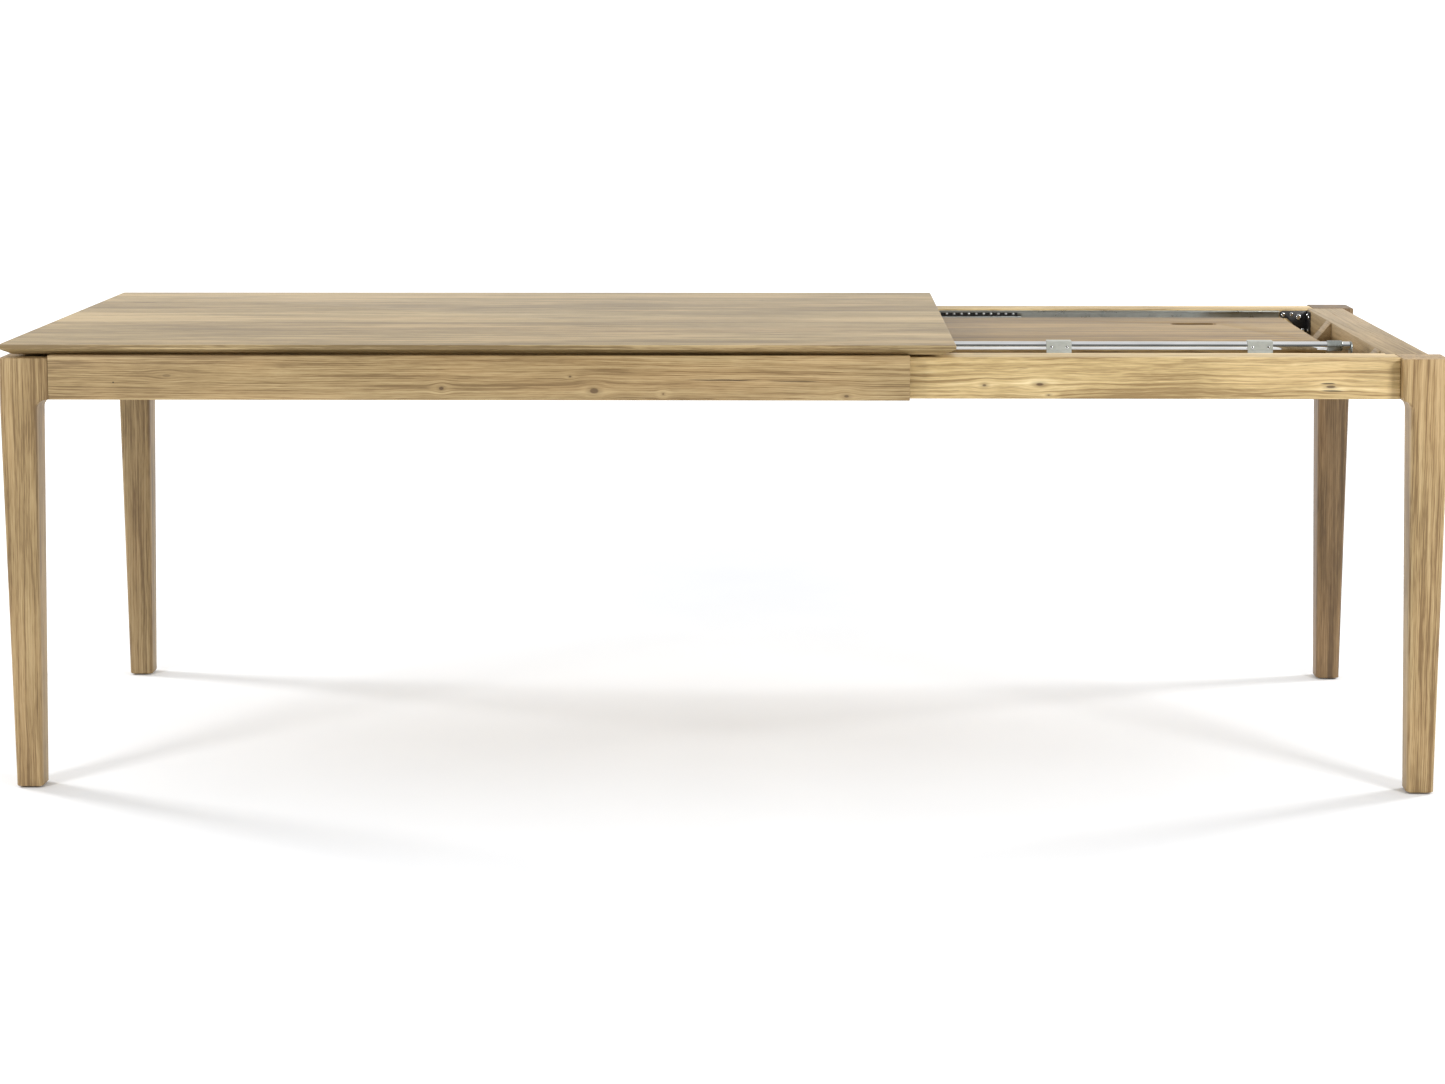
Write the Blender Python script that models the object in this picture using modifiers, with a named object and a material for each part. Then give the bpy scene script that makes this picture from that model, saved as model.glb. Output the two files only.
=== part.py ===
"""Extendable oak dining table, shown pulled out, with its extension leaf stored in the frame.

A fixed frame with two legs carries the tabletop. A second frame with the other two legs runs
out of it along X on two telescopic ball slides. The folded leaf lies inside the moving frame
and slides along a chrome tube.

Units are metres, +Z is up, and the origin is on the floor under the middle of the open table.
The near long side is -Y, and the table opens towards +X.
"""

import math

import bmesh
import bpy
from mathutils import Matrix, Vector

# ---------------------------------------------------------------- driving dimensions
CLOSED_LENGTH = 1.600
TRAVEL = 0.815
WIDTH = 0.900
HEIGHT = 0.760
GAP = 0.0003
EASED = 0.0012

OPEN_LENGTH = CLOSED_LENGTH + TRAVEL
X_LEFT = -OPEN_LENGTH / 2
X_RIGHT = OPEN_LENGTH / 2
Y_EDGE = WIDTH / 2
SIDES = {"near": -1, "far": 1}

# tabletop
TOP_THICKNESS = 0.018
TOP_EDGE = 0.007
TOP_BEVEL = 0.020
TOP_UNDERSIDE = HEIGHT - TOP_THICKNESS
TOP_RIGHT = X_LEFT + CLOSED_LENGTH

# frame levels
SHADOW_GAP = 0.005
FRAME_TOP = TOP_UNDERSIDE - SHADOW_GAP
FRAME_BOTTOM = 0.667
FIXED_TOP = TOP_UNDERSIDE - GAP

# legs
LEG_INSET = 0.003
LEG_FACE = Y_EDGE - LEG_INSET
LEG_WIDTH_LEFT = 0.083
LEG_WIDTH_RIGHT = 0.076
LEG_DEPTH = 0.075
LEG_SHAFT = 0.0625
LEG_FOOT = 0.045
LEG_OUTER_TAPER = 0.010
LEG_KNEE_HEIGHT = 0.018
LEG_KNEE_STEPS = 5
LEG_OUTER_RADIUS = 0.009
LEG_SHAFT_RADIUS = 0.008
LEG_JOINT_RADIUS = 0.001
LEG_CHAMFER = 0.0015
LEG_INNER_Y = LEG_FACE - LEG_DEPTH
CORNER_SEGMENTS = 3
GLIDE_HEIGHT = 0.003
GLIDE_RADIUS = 0.011

# fixed frame
APRON_THICKNESS = 0.022
APRON_RIGHT = TOP_RIGHT - LEG_WIDTH_RIGHT - 2 * GAP
END_APRON_INSET = 0.020
END_APRON_THICKNESS = 0.025
BEARER_OUTER = 0.345
BEARER_INNER = 0.323
BEARER_BOTTOM = 0.6945
BEARER_LEFT = X_LEFT + 0.085
BEARER_RIGHT = X_LEFT + 1.500
BATTEN_WIDTH = 0.060
BATTEN_THICKNESS = 0.0095
BATTEN_CENTRES = {"left": X_LEFT + 0.430, "right": X_LEFT + 1.150}
BATTEN_NEAR_END = -0.148
BLOCK_BOTTOM = 0.697
BLOCK_ARM_X = 0.070
BLOCK_ARM_Y = 0.060

# moving frame
RAIL_OUTER = 0.422
RAIL_INNER = 0.358
RAIL_LEFT = X_LEFT + 0.970
END_RAIL_INNER = X_RIGHT - 0.090
END_RAIL_OUTER = X_RIGHT - 0.020
CROSS_RAIL_WIDTH = 0.050
CROSS_RAIL_LEFT = RAIL_LEFT + 0.010
CARRIER_WIDTH = 0.060
CARRIER_TOP = 0.692
BAR_TOP = 0.6855
BAR_BOTTOM = 0.672
CARRIER_CENTRES = {"left": X_LEFT + 1.560, "right": X_LEFT + 2.215}
BRACKET_BAR_LEFT = END_RAIL_INNER - 0.055
GUSSET_LENGTH = 0.038
GUSSET_HEIGHT = 0.045
GUSSET_WIDTH = 0.045
GUSSET_CENTRES = {"near": -0.299, "far": 0.140}

# telescopic slides: depths run inwards from the moving rail, heights from the slide's middle
SLIDE_MIDDLE = 0.7135
PLATE = 0.0015
MOVING_CHANNEL = {"web": 0.0003, "lips": 0.0106, "half": 0.021}
MIDDLE_CHANNEL = {"web": 0.0046, "lips": 0.0096, "half": 0.0105}
FIXED_CHANNEL = {"web": 0.0127, "lips": 0.0078, "half": 0.0044}
MOVING_CHANNEL_X = (X_LEFT + 1.500, X_LEFT + 2.2685)
MIDDLE_CHANNEL_X = (X_LEFT + 1.002, X_LEFT + 1.772)
FIXED_CHANNEL_X = (X_LEFT + 0.600, X_LEFT + 1.370)
BALL_PITCH = 0.0143
OUTER_RACE = {"radius": 0.0024, "depth": 0.0050, "height": 0.0152, "count": 16}
OUTER_CAGE = {"depth": (0.0022, 0.0032), "half": 0.0192}
OUTER_CAGE_RIGHT = X_LEFT + 1.764
INNER_RACE = {"radius": 0.0018, "depth": 0.0083, "height": 0.0067, "count": 12}
INNER_CAGE = {"depth": (0.0064, 0.0072), "half": 0.0086}
INNER_CAGE_RIGHT = X_LEFT + 1.300
CAGE_MARGIN = 0.008

# black corner brackets of the moving frame
BRACKET_SHEET = 0.0025
BRACKET_TOP = 0.7340
BRACKET_BOTTOM = 0.6862
BRACKET_ARM = 0.014
BRACKET_TOE = 0.006
BRACKET_LENGTH = 0.055
BRACKET_FLANGE = 0.030

# extension leaf, folded in two
LEAF_LENGTH = 0.800
LEAF_RIGHT = X_LEFT + 2.257
LEAF_LEFT = LEAF_RIGHT - LEAF_LENGTH
LEAF_NEAR = -0.194
LEAF_FAR = LEAF_NEAR + WIDTH / 2
LEAF_SHEET = 0.0195
LEAF_BOTTOM = CARRIER_TOP + GAP
LEAF_TOP = LEAF_BOTTOM + 2 * LEAF_SHEET + GAP
HAND_SLOT = (0.086, 0.028)
HAND_SLOT_CENTRE = (X_LEFT + 2.074, 0.143)
HINGE_PLACES = {"left": 0.15, "right": 0.85}
HINGE_LENGTH = 0.060
HINGE_RADIUS = 0.004

# guide tube and clips
TUBE_Y = -0.210
TUBE_Z = 0.7320
TUBE_RADIUS = 0.0075
TUBE_WALL = 0.0015
TUBE_SEGMENTS = 20
TUBE_LEFT = CROSS_RAIL_LEFT + 0.024
TUBE_RIGHT = X_LEFT + 2.2945
SLEEVE_X = (X_LEFT + 2.255, X_LEFT + 2.281)
SLEEVE_WALL = 0.0014
TUBE_PLATE = 0.003
TUBE_PLATE_WIDTH = 0.022
TUBE_FOOT_LENGTH = 0.018
CLIP_WIDTH = 0.043
CLIP_CENTRES = {"left": X_LEFT + 1.791, "right": X_LEFT + 2.139}
CLIP_FRONT = -0.2212
CLIP_WALL = 0.0030
CLIP_CROWN = 0.0014
CLIP_LIP_BOTTOM = 0.7145
CLIP_TONGUE = 0.030
CLIP_TONGUE_THICKNESS = 0.0025
CLIP_SCREW_OFFSET = 0.0136
CLIP_SCREW_Z = 0.7303
CLIP_SCREW_RADIUS = 0.0026

# fasteners
SCREW_HEIGHT = 0.0016
SCREW_CROWN = 0.7
SCREW_SEGMENTS = 10
BOLT_RADIUS = 0.0055
BRACKET_BOLT_X = 0.018
BRACKET_BOLT_DROP = 0.012
LEG_NUT_RADIUS = 0.0075
LEG_NUT_HEIGHT = 0.006

# ---------------------------------------------------------------- finishes
FINISHES = {
    "oak": ((0.50, 0.36, 0.20), 0.45, 0.0),
    "leaf_oak": ((0.56, 0.44, 0.29), 0.50, 0.0),
    "beech": ((0.58, 0.43, 0.27), 0.55, 0.0),
    "zinc": ((0.55, 0.57, 0.56), 0.35, 1.0),
    "chrome": ((0.82, 0.83, 0.83), 0.12, 1.0),
    "black_steel": ((0.03, 0.03, 0.03), 0.45, 0.0),
    "black_plastic": ((0.02, 0.02, 0.02), 0.50, 0.0),
    "clip_plastic": ((0.66, 0.68, 0.67), 0.40, 0.0),
    "glide_plastic": ((0.80, 0.80, 0.78), 0.50, 0.0),
}

table = bpy.data.collections.new("extendable_dining_table")
cutters = bpy.data.collections.new("cutters")


# ---------------------------------------------------------------- building helpers
def clear_scene():
    """Remove every object and show the two collections."""
    for thing in list(bpy.data.objects):
        bpy.data.objects.remove(thing)
    bpy.context.scene.collection.children.link(table)
    bpy.context.scene.collection.children.link(cutters)


def finish_material(name, finish):
    """One Principled material for the named piece."""
    colour, roughness, metallic = FINISHES[finish]
    made = bpy.data.materials.new(name + "_finish")
    made.use_nodes = True
    shader = made.node_tree.nodes["Principled BSDF"]
    shader.inputs["Base Color"].default_value = (*colour, 1.0)
    shader.inputs["Roughness"].default_value = roughness
    shader.inputs["Metallic"].default_value = metallic
    return made


def joint_empty(name, location, parent=None):
    """An empty that carries one moving body, on its joint's axis."""
    empty = bpy.data.objects.new(name, None)
    table.objects.link(empty)
    empty["world"] = tuple(location)
    empty.parent = parent
    base = Vector(parent["world"]) if parent else Vector()
    empty.location = Vector(location) - base
    return empty


def add_object(name, data, location, finish, parent, turn=(0, 0, 0)):
    """Link a new piece at a world location, under its body's empty."""
    piece = bpy.data.objects.new(name, data)
    table.objects.link(piece)
    piece.parent = parent
    base = Vector(parent["world"]) if parent else Vector()
    piece.location = Vector(location) - base
    piece.rotation_euler = turn
    piece.data.materials.append(finish_material(name, finish))
    return piece


def mesh_from(name, bm):
    """Turn a bmesh into a mesh with its faces pointing out."""
    bmesh.ops.recalc_face_normals(bm, faces=bm.faces)
    mesh = bpy.data.meshes.new(name)
    bm.to_mesh(mesh)
    bm.free()
    return mesh


def bevel_edges(piece, width):
    """Ease the sharp edges of a piece."""
    bevel = piece.modifiers.new("eased_edges", "BEVEL")
    bevel.width = width
    bevel.segments = 1
    bevel.limit_method = "ANGLE"
    return bevel


def block(name, x, y, z, finish, parent=None, bevel=EASED):
    """A rectangular piece between (low, high) pairs on each axis."""
    size = Vector((x[1] - x[0], y[1] - y[0], z[1] - z[0]))
    centre = Vector((x[0] + x[1], y[0] + y[1], z[0] + z[1])) / 2
    bm = bmesh.new()
    bmesh.ops.create_cube(bm, size=1.0, matrix=Matrix.Diagonal((*size, 1.0)))
    piece = add_object(name, mesh_from(name, bm), centre, finish, parent)
    if bevel:
        bevel_edges(piece, bevel)
    return piece


def across(side, inner, outer):
    """The (low, high) Y pair of a stretch measured out from the table's middle."""
    return tuple(sorted((side * inner, side * outer)))


def prism(name, points, axis, span, finish, parent=None):
    """A flat outline, given in the two world axes other than axis, made span long."""
    middle = (span[0] + span[1]) / 2
    turn, location = {
        "X": ((math.pi / 2, 0, math.pi / 2), (middle, 0, 0)),
        "Y": ((math.pi / 2, 0, 0), (0, middle, 0)),
        "Z": ((0, 0, 0), (0, 0, middle)),
    }[axis]
    curve = bpy.data.curves.new(name, "CURVE")
    curve.dimensions = "2D"
    curve.fill_mode = "BOTH"
    curve.extrude = (span[1] - span[0]) / 2
    spline = curve.splines.new("POLY")
    spline.points.add(len(points) - 1)
    for point, (u, v) in zip(spline.points, points):
        point.co = (u, v, 0, 1)
    spline.use_cyclic_u = True
    return add_object(name, curve, location, finish, parent, turn)


def arc(centre, radius, start, end, steps):
    """Points along an arc, with angles in degrees."""
    points = []
    for step in range(steps + 1):
        angle = math.radians(start + (end - start) * step / steps)
        points.append((centre[0] + radius * math.cos(angle), centre[1] + radius * math.sin(angle)))
    return points


def loft(name, rings, location, finish, parent=None):
    """A closed body through rings of points, capped at both ends."""
    bm = bmesh.new()
    loops = [[bm.verts.new(Vector(point) - Vector(location)) for point in ring] for ring in rings]
    for lower, upper in zip(loops, loops[1:]):
        count = len(lower)
        for i in range(count):
            j = (i + 1) % count
            bm.faces.new((lower[i], lower[j], upper[j], upper[i]))
    bm.faces.new(loops[0])
    bm.faces.new(loops[-1])
    return add_object(name, mesh_from(name, bm), location, finish, parent)


def rounded_section(u, v, radii):
    """A rounded rectangle from (0, 0)-based spans u and v; radii go round from (low u, low v)."""
    corners = (
        (u[0], v[0], 1, 1, 180),
        (u[1], v[0], -1, 1, 270),
        (u[1], v[1], -1, -1, 0),
        (u[0], v[1], 1, -1, 90),
    )
    points = []
    for (cu, cv, su, sv, start), radius in zip(corners, radii):
        centre = (cu + su * radius, cv + sv * radius)
        points += arc(centre, radius, start, start + 90, CORNER_SEGMENTS)
    return points


def disc(name, centre, axis, radius, height, segments, finish, parent=None, top_radius=None):
    """A round piece centred on a point, with its own Z along axis."""
    turn = Vector(axis).to_track_quat("Z", "Y").to_euler()
    bm = bmesh.new()
    bmesh.ops.create_cone(
        bm,
        cap_ends=True,
        segments=segments,
        radius1=radius,
        radius2=top_radius or radius,
        depth=height,
    )
    return add_object(name, mesh_from(name, bm), centre, finish, parent, turn)


def screw_head(name, seat, out, finish, parent, radius):
    """A pan head standing just off its seat, facing out."""
    centre = Vector(seat) + Vector(out) * (GAP + SCREW_HEIGHT / 2)
    top = radius * SCREW_CROWN
    return disc(name, centre, out, radius, SCREW_HEIGHT, SCREW_SEGMENTS, finish, parent, top)


def pipe(name, x, radius, wall, finish, parent):
    """An open tube along X, its wall growing inwards."""
    bm = bmesh.new()
    bmesh.ops.create_cone(
        bm,
        cap_ends=False,
        segments=TUBE_SEGMENTS,
        radius1=radius,
        radius2=radius,
        depth=x[1] - x[0],
        matrix=Matrix.Rotation(math.pi / 2, 4, "Y"),
    )
    centre = ((x[0] + x[1]) / 2, TUBE_Y, TUBE_Z)
    piece = add_object(name, mesh_from(name, bm), centre, finish, parent)
    shell = piece.modifiers.new("wall", "SOLIDIFY")
    shell.thickness = wall
    shell.offset = -1
    piece.data.shade_smooth()
    piece.data.set_sharp_from_angle(angle=math.radians(40))
    return piece


# ---------------------------------------------------------------- fixed frame
def make_tabletop():
    """The solid top: a short upright edge over a wide bevel on all four sides."""
    levels = ((HEIGHT, EASED), (HEIGHT - EASED, 0), (HEIGHT - TOP_EDGE, 0), (TOP_UNDERSIDE, TOP_BEVEL))
    rings = []
    for z, inset in levels:
        u = (X_LEFT + inset, TOP_RIGHT - inset)
        v = (-Y_EDGE + inset, Y_EDGE - inset)
        rings.append([(x, y, z) for x, y in rounded_section(u, v, [0.002] * 4)])
    centre = ((X_LEFT + TOP_RIGHT) / 2, 0, HEIGHT - TOP_THICKNESS / 2)
    loft("tabletop", rings, centre, "oak")


def leg_ring(z, width, depth, outer, radii, corner, turn):
    """One level of a leg, from its outer corner inwards; outer is the taper at this level."""
    u = (outer, outer + width)
    v = (outer, outer + depth)
    section = rounded_section(u, v, radii)
    return [(corner[0] + turn[0] * a, corner[1] + turn[1] * b, z) for a, b in section]


def make_leg(name, corner, turn, top_width, parent=None):
    """A leg that is square at the frame, curves in below it and tapers to the foot."""
    knee_bottom = FRAME_BOTTOM - LEG_KNEE_HEIGHT
    joint_radii = (LEG_OUTER_RADIUS, LEG_JOINT_RADIUS, LEG_JOINT_RADIUS, LEG_JOINT_RADIUS)
    rings = []
    for z, inset in ((FRAME_TOP, LEG_CHAMFER), (FRAME_TOP - LEG_CHAMFER, 0)):
        size = (top_width - 2 * inset, LEG_DEPTH - 2 * inset)
        rings.append(leg_ring(z, *size, inset, joint_radii, corner, turn))
    for step in range(LEG_KNEE_STEPS, -1, -1):
        angle = math.pi / 2 * step / LEG_KNEE_STEPS
        curve = math.cos(angle)
        width = top_width - (top_width - LEG_SHAFT) * curve
        depth = LEG_DEPTH - (LEG_DEPTH - LEG_SHAFT) * curve
        inner = LEG_JOINT_RADIUS + (LEG_SHAFT_RADIUS - LEG_JOINT_RADIUS) * curve
        z = knee_bottom + LEG_KNEE_HEIGHT * math.sin(angle)
        rings.append(leg_ring(z, width, depth, 0, (LEG_OUTER_RADIUS, inner, inner, inner), corner, turn))
    foot_radii = (LEG_SHAFT_RADIUS,) * 4
    for z, inset in ((GLIDE_HEIGHT + LEG_CHAMFER, 0), (GLIDE_HEIGHT, LEG_CHAMFER)):
        side = LEG_FOOT - 2 * inset
        rings.append(leg_ring(z, side, side, LEG_OUTER_TAPER + inset, foot_radii, corner, turn))
    centre = (corner[0] + turn[0] * LEG_SHAFT / 2, corner[1] + turn[1] * LEG_SHAFT / 2, FRAME_TOP / 2)
    loft(name, rings, centre, "oak", parent)


def make_glide(name, corner, turn, parent=None):
    """The round glide under one leg."""
    middle = LEG_OUTER_TAPER + LEG_FOOT / 2
    height = GLIDE_HEIGHT - GAP
    centre = (corner[0] + turn[0] * middle, corner[1] + turn[1] * middle, height / 2)
    disc(name, centre, (0, 0, 1), GLIDE_RADIUS, height, 16, "glide_plastic", parent)


def make_fixed_frame():
    """Left legs, aprons, bearers, battens and corner blocks under the tabletop."""
    apron_left = X_LEFT + LEG_WIDTH_LEFT + GAP
    end_apron = (X_LEFT + END_APRON_INSET, X_LEFT + END_APRON_INSET + END_APRON_THICKNESS)
    end_reach = LEG_INNER_Y - GAP
    height = (FRAME_BOTTOM, FIXED_TOP)
    block("apron_left_end", end_apron, (-end_reach, end_reach), height, "oak")
    for side_name, side in SIDES.items():
        corner = (X_LEFT, side * LEG_FACE)
        make_leg("leg_left_" + side_name, corner, (1, -side), LEG_WIDTH_LEFT)
        make_glide("glide_left_" + side_name, corner, (1, -side))
        y = across(side, LEG_FACE - APRON_THICKNESS, LEG_FACE)
        block("apron_" + side_name, (apron_left, APRON_RIGHT), y, height, "oak")
        y = across(side, BEARER_INNER, BEARER_OUTER)
        bearer_height = (BEARER_BOTTOM, FIXED_TOP)
        block("slide_bearer_" + side_name, (BEARER_LEFT, BEARER_RIGHT), y, bearer_height, "beech")
        make_corner_block(side_name, side, end_apron[1] + GAP)
    batten_height = (FIXED_TOP - BATTEN_THICKNESS, FIXED_TOP)
    batten_reach = (BATTEN_NEAR_END, BEARER_INNER - GAP)
    for place, middle in BATTEN_CENTRES.items():
        x = (middle - BATTEN_WIDTH / 2, middle + BATTEN_WIDTH / 2)
        block("top_batten_" + place, x, batten_reach, batten_height, "beech")


def make_corner_block(side_name, side, inner_x):
    """The block that ties a left leg to its two aprons, cut across at the back."""
    leg_x = X_LEFT + LEG_WIDTH_LEFT + GAP
    apron_y = LEG_FACE - APRON_THICKNESS - GAP
    leg_y = LEG_INNER_Y - GAP
    outline = [
        (inner_x, leg_y),
        (leg_x, leg_y),
        (leg_x, apron_y),
        (leg_x + BLOCK_ARM_X, apron_y),
        (inner_x, leg_y - BLOCK_ARM_Y),
    ]
    points = [(x, side * y) for x, y in outline]
    height = (BLOCK_BOTTOM, FIXED_TOP - GAP)
    prism("corner_block_" + side_name, points, "Z", height, "beech")
    cut = Vector((outline[3][0] - outline[4][0], side * (outline[3][1] - outline[4][1]), 0))
    out = Vector((cut.y, -cut.x, 0)).normalized() * side
    seat = Vector((outline[3][0] + outline[4][0], side * (outline[3][1] + outline[4][1]), 0)) / 2
    seat.z = (BLOCK_BOTTOM + FIXED_TOP) / 2
    centre = seat + out * (GAP + LEG_NUT_HEIGHT / 2)
    disc("leg_nut_" + side_name, centre, out, LEG_NUT_RADIUS, LEG_NUT_HEIGHT, 6, "zinc")


# ---------------------------------------------------------------- telescopic slides
def channel_outline(side, channel):
    """The C section of one slide member, in Y and Z."""
    half = channel["half"]
    step = PLATE if channel["lips"] > channel["web"] else -PLATE
    back = channel["web"]
    front = channel["lips"]
    section = [
        (back, -half),
        (front, -half),
        (front, -half + PLATE),
        (back + step, -half + PLATE),
        (back + step, half - PLATE),
        (front, half - PLATE),
        (front, half),
        (back, half),
    ]
    return [(side * (RAIL_INNER - depth), SLIDE_MIDDLE + height) for depth, height in section]


def make_cage(name, side, right, race, cage, parent):
    """One ball cage: a plate between two slide members, with a row of balls at its top and bottom."""
    left = right - 2 * CAGE_MARGIN - BALL_PITCH * (race["count"] - 1)
    y = across(side, RAIL_INNER - cage["depth"][1], RAIL_INNER - cage["depth"][0])
    height = (SLIDE_MIDDLE - cage["half"], SLIDE_MIDDLE + cage["half"])
    plate = block(name, (left, right), y, height, "black_plastic", parent, bevel=0)
    middle = Vector(((left + right) / 2, side * (RAIL_INNER - race["depth"]), SLIDE_MIDDLE))
    bm = bmesh.new()
    for i in range(race["count"]):
        along = left + CAGE_MARGIN + i * BALL_PITCH - middle.x
        for way in (-1, 1):
            place = Matrix.Translation((along, 0, way * race["height"]))
            bmesh.ops.create_icosphere(bm, subdivisions=1, radius=race["radius"], matrix=place)
    balls = bpy.data.objects.new(name + "_balls", mesh_from(name + "_balls", bm))
    balls.location = middle
    cutters.objects.link(balls)
    balls.hide_render = True
    balls.display_type = "WIRE"
    join_with(plate, balls)


def make_slides(extension, middles, outer_cages, inner_cages):
    """A three-member ball slide on each side of the frame."""
    for side_name, side in SIDES.items():
        members = (
            ("slide_moving_", MOVING_CHANNEL, MOVING_CHANNEL_X, extension),
            ("slide_middle_", MIDDLE_CHANNEL, MIDDLE_CHANNEL_X, middles[side_name]),
            ("slide_fixed_", FIXED_CHANNEL, FIXED_CHANNEL_X, None),
        )
        for prefix, channel, x, parent in members:
            prism(prefix + side_name, channel_outline(side, channel), "X", x, "zinc", parent)
        cages = (
            ("outer", OUTER_CAGE_RIGHT, OUTER_RACE, OUTER_CAGE, outer_cages[side_name]),
            ("inner", INNER_CAGE_RIGHT, INNER_RACE, INNER_CAGE, inner_cages[side_name]),
        )
        for kind, right, race, cage, parent in cages:
            make_cage("ball_cage_" + kind + "_" + side_name, side, right, race, cage, parent)


# ---------------------------------------------------------------- moving frame
def make_rail(side_name, side, extension):
    """A moving side rail, notched at the right where the end rail passes inside it."""
    leg_x = X_RIGHT - LEG_WIDTH_RIGHT - GAP
    rail_end = END_RAIL_INNER - GAP
    shoulder = LEG_INNER_Y + GAP
    outline = [
        (RAIL_LEFT, RAIL_INNER),
        (rail_end, RAIL_INNER),
        (rail_end, shoulder),
        (leg_x, shoulder),
        (leg_x, RAIL_OUTER),
        (RAIL_LEFT, RAIL_OUTER),
    ]
    points = [(x, side * y) for x, y in outline]
    prism("rail_" + side_name, points, "Z", (FRAME_BOTTOM, FRAME_TOP), "oak", extension)


def make_corner_bracket(side_name, side, extension):
    """A black angle plate on the rail's inner face, with a flange against the end rail."""
    right = END_RAIL_INNER - GAP
    left = right - BRACKET_LENGTH
    arm_radius = BRACKET_ARM / 2
    top, bottom, corner = BRACKET_TOP - 0.0003, BRACKET_BOTTOM + 0.0003, right - 0.0008
    tab = arc((left + arm_radius, top - arm_radius), arm_radius, 90, 270, 6)
    slope_top = (left + BRACKET_ARM, top - BRACKET_ARM)
    slope_foot = (right - BRACKET_TOE, bottom)
    face = tab + [slope_top, slope_foot, (corner, bottom), (corner, top)]
    back = RAIL_INNER - GAP
    y = across(side, back - BRACKET_SHEET, back)
    plate = prism("bracket_plate_curve", face, "Y", y, "black_steel", extension)
    flange_y = across(side, back - BRACKET_FLANGE, back - BRACKET_SHEET / 2)
    flange = block(
        "corner_bracket_" + side_name,
        (right - BRACKET_SHEET, right),
        flange_y,
        (BRACKET_BOTTOM, BRACKET_TOP),
        "black_steel",
        extension,
        bevel=0,
    )
    join_with(flange, curve_to_cutter(plate))
    seat = (right - BRACKET_BOLT_X, side * (back - BRACKET_SHEET), BRACKET_TOP - BRACKET_BOLT_DROP)
    out = (0, -side, 0)
    screw_head("corner_bracket_bolt_" + side_name, seat, out, "chrome", extension, BOLT_RADIUS)


def curve_to_cutter(curve_object):
    """Replace a curve object by a closed mesh object in the cutters collection."""
    bpy.context.view_layer.update()
    evaluated = curve_object.evaluated_get(bpy.context.evaluated_depsgraph_get())
    mesh = bpy.data.meshes.new_from_object(evaluated)
    bm = bmesh.new()
    bm.from_mesh(mesh)
    bmesh.ops.remove_doubles(bm, verts=bm.verts, dist=0.00001)
    bmesh.ops.recalc_face_normals(bm, faces=bm.faces)
    bm.to_mesh(mesh)
    bm.free()
    cutter = bpy.data.objects.new(curve_object.name + "_tool", mesh)
    cutters.objects.link(cutter)
    cutter.matrix_world = curve_object.matrix_world.copy()
    cutter.hide_render = True
    cutter.display_type = "WIRE"
    bpy.data.objects.remove(curve_object)
    return cutter


def join_with(piece, tool):
    """Union a piece with a tool."""
    union = piece.modifiers.new("union", "BOOLEAN")
    union.operation = "UNION"
    union.solver = "EXACT"
    union.object = tool


def make_moving_frame(extension):
    """Right legs, rails, end rail, cross pieces and gussets."""
    frame_height = (FRAME_BOTTOM, FRAME_TOP)
    end_reach = LEG_INNER_Y - GAP
    end_x = (END_RAIL_INNER, END_RAIL_OUTER)
    block("end_rail", end_x, (-end_reach, end_reach), frame_height, "oak", extension)
    for side_name, side in SIDES.items():
        corner = (X_RIGHT, side * LEG_FACE)
        make_leg("leg_right_" + side_name, corner, (-1, -side), LEG_WIDTH_RIGHT, extension)
        make_glide("glide_right_" + side_name, corner, (-1, -side), extension)
        make_rail(side_name, side, extension)
        make_corner_bracket(side_name, side, extension)
        make_gusset(side_name, extension)
    reach = (-RAIL_INNER + GAP, RAIL_INNER - GAP)
    bar_height = (BAR_BOTTOM, BAR_TOP)
    cross_x = (CROSS_RAIL_LEFT, CROSS_RAIL_LEFT + CROSS_RAIL_WIDTH)
    block("cross_rail", cross_x, reach, bar_height, "beech", extension)
    bar_x = (BRACKET_BAR_LEFT, END_RAIL_INNER - GAP)
    block("tube_bracket_bar", bar_x, reach, bar_height, "beech", extension)
    for place, middle in CARRIER_CENTRES.items():
        x = (middle - CARRIER_WIDTH / 2, middle + CARRIER_WIDTH / 2)
        block("leaf_carrier_" + place, x, reach, (BAR_BOTTOM, CARRIER_TOP), "beech", extension)


def make_gusset(side_name, extension):
    """A triangular block glued to the end rail's inner face."""
    face = END_RAIL_INNER - GAP
    foot = FRAME_TOP - GUSSET_HEIGHT
    points = [(face, FRAME_TOP), (face, foot), (face - GUSSET_LENGTH, foot)]
    middle = GUSSET_CENTRES[side_name]
    y = (middle - GUSSET_WIDTH / 2, middle + GUSSET_WIDTH / 2)
    prism("end_gusset_" + side_name, points, "Y", y, "oak", extension)


def make_tube_bracket(name, x, foot_way, extension):
    """An upright plate that holds a tube end, with a foot on the bar below."""
    bottom = BAR_TOP + GAP
    plate_x = (x, x + TUBE_PLATE)
    half = TUBE_PLATE_WIDTH / 2
    crown = TUBE_Z + TUBE_RADIUS + 0.001 - half * 0.8
    upright = arc((TUBE_Y, crown - 0.001), half * 0.8, 0, 180, 6)
    shoulders = [(TUBE_Y - half, crown - 0.006), (TUBE_Y - half, bottom)]
    face = upright + shoulders + [(TUBE_Y + half, bottom), (TUBE_Y + half, crown - 0.006)]
    plate = prism(name + "_plate", face, "X", plate_x, "zinc", extension)
    overlap = 0.001
    if foot_way > 0:
        foot_x = (plate_x[1] - overlap, plate_x[1] + TUBE_FOOT_LENGTH)
    else:
        foot_x = (plate_x[0] - TUBE_FOOT_LENGTH, plate_x[0] + overlap)
    y = (TUBE_Y - half + 0.0005, TUBE_Y + half - 0.0005)
    foot = block(name, foot_x, y, (bottom + 0.00002, bottom + 0.0025), "zinc", extension, bevel=0)
    join_with(foot, curve_to_cutter(plate))


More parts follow.
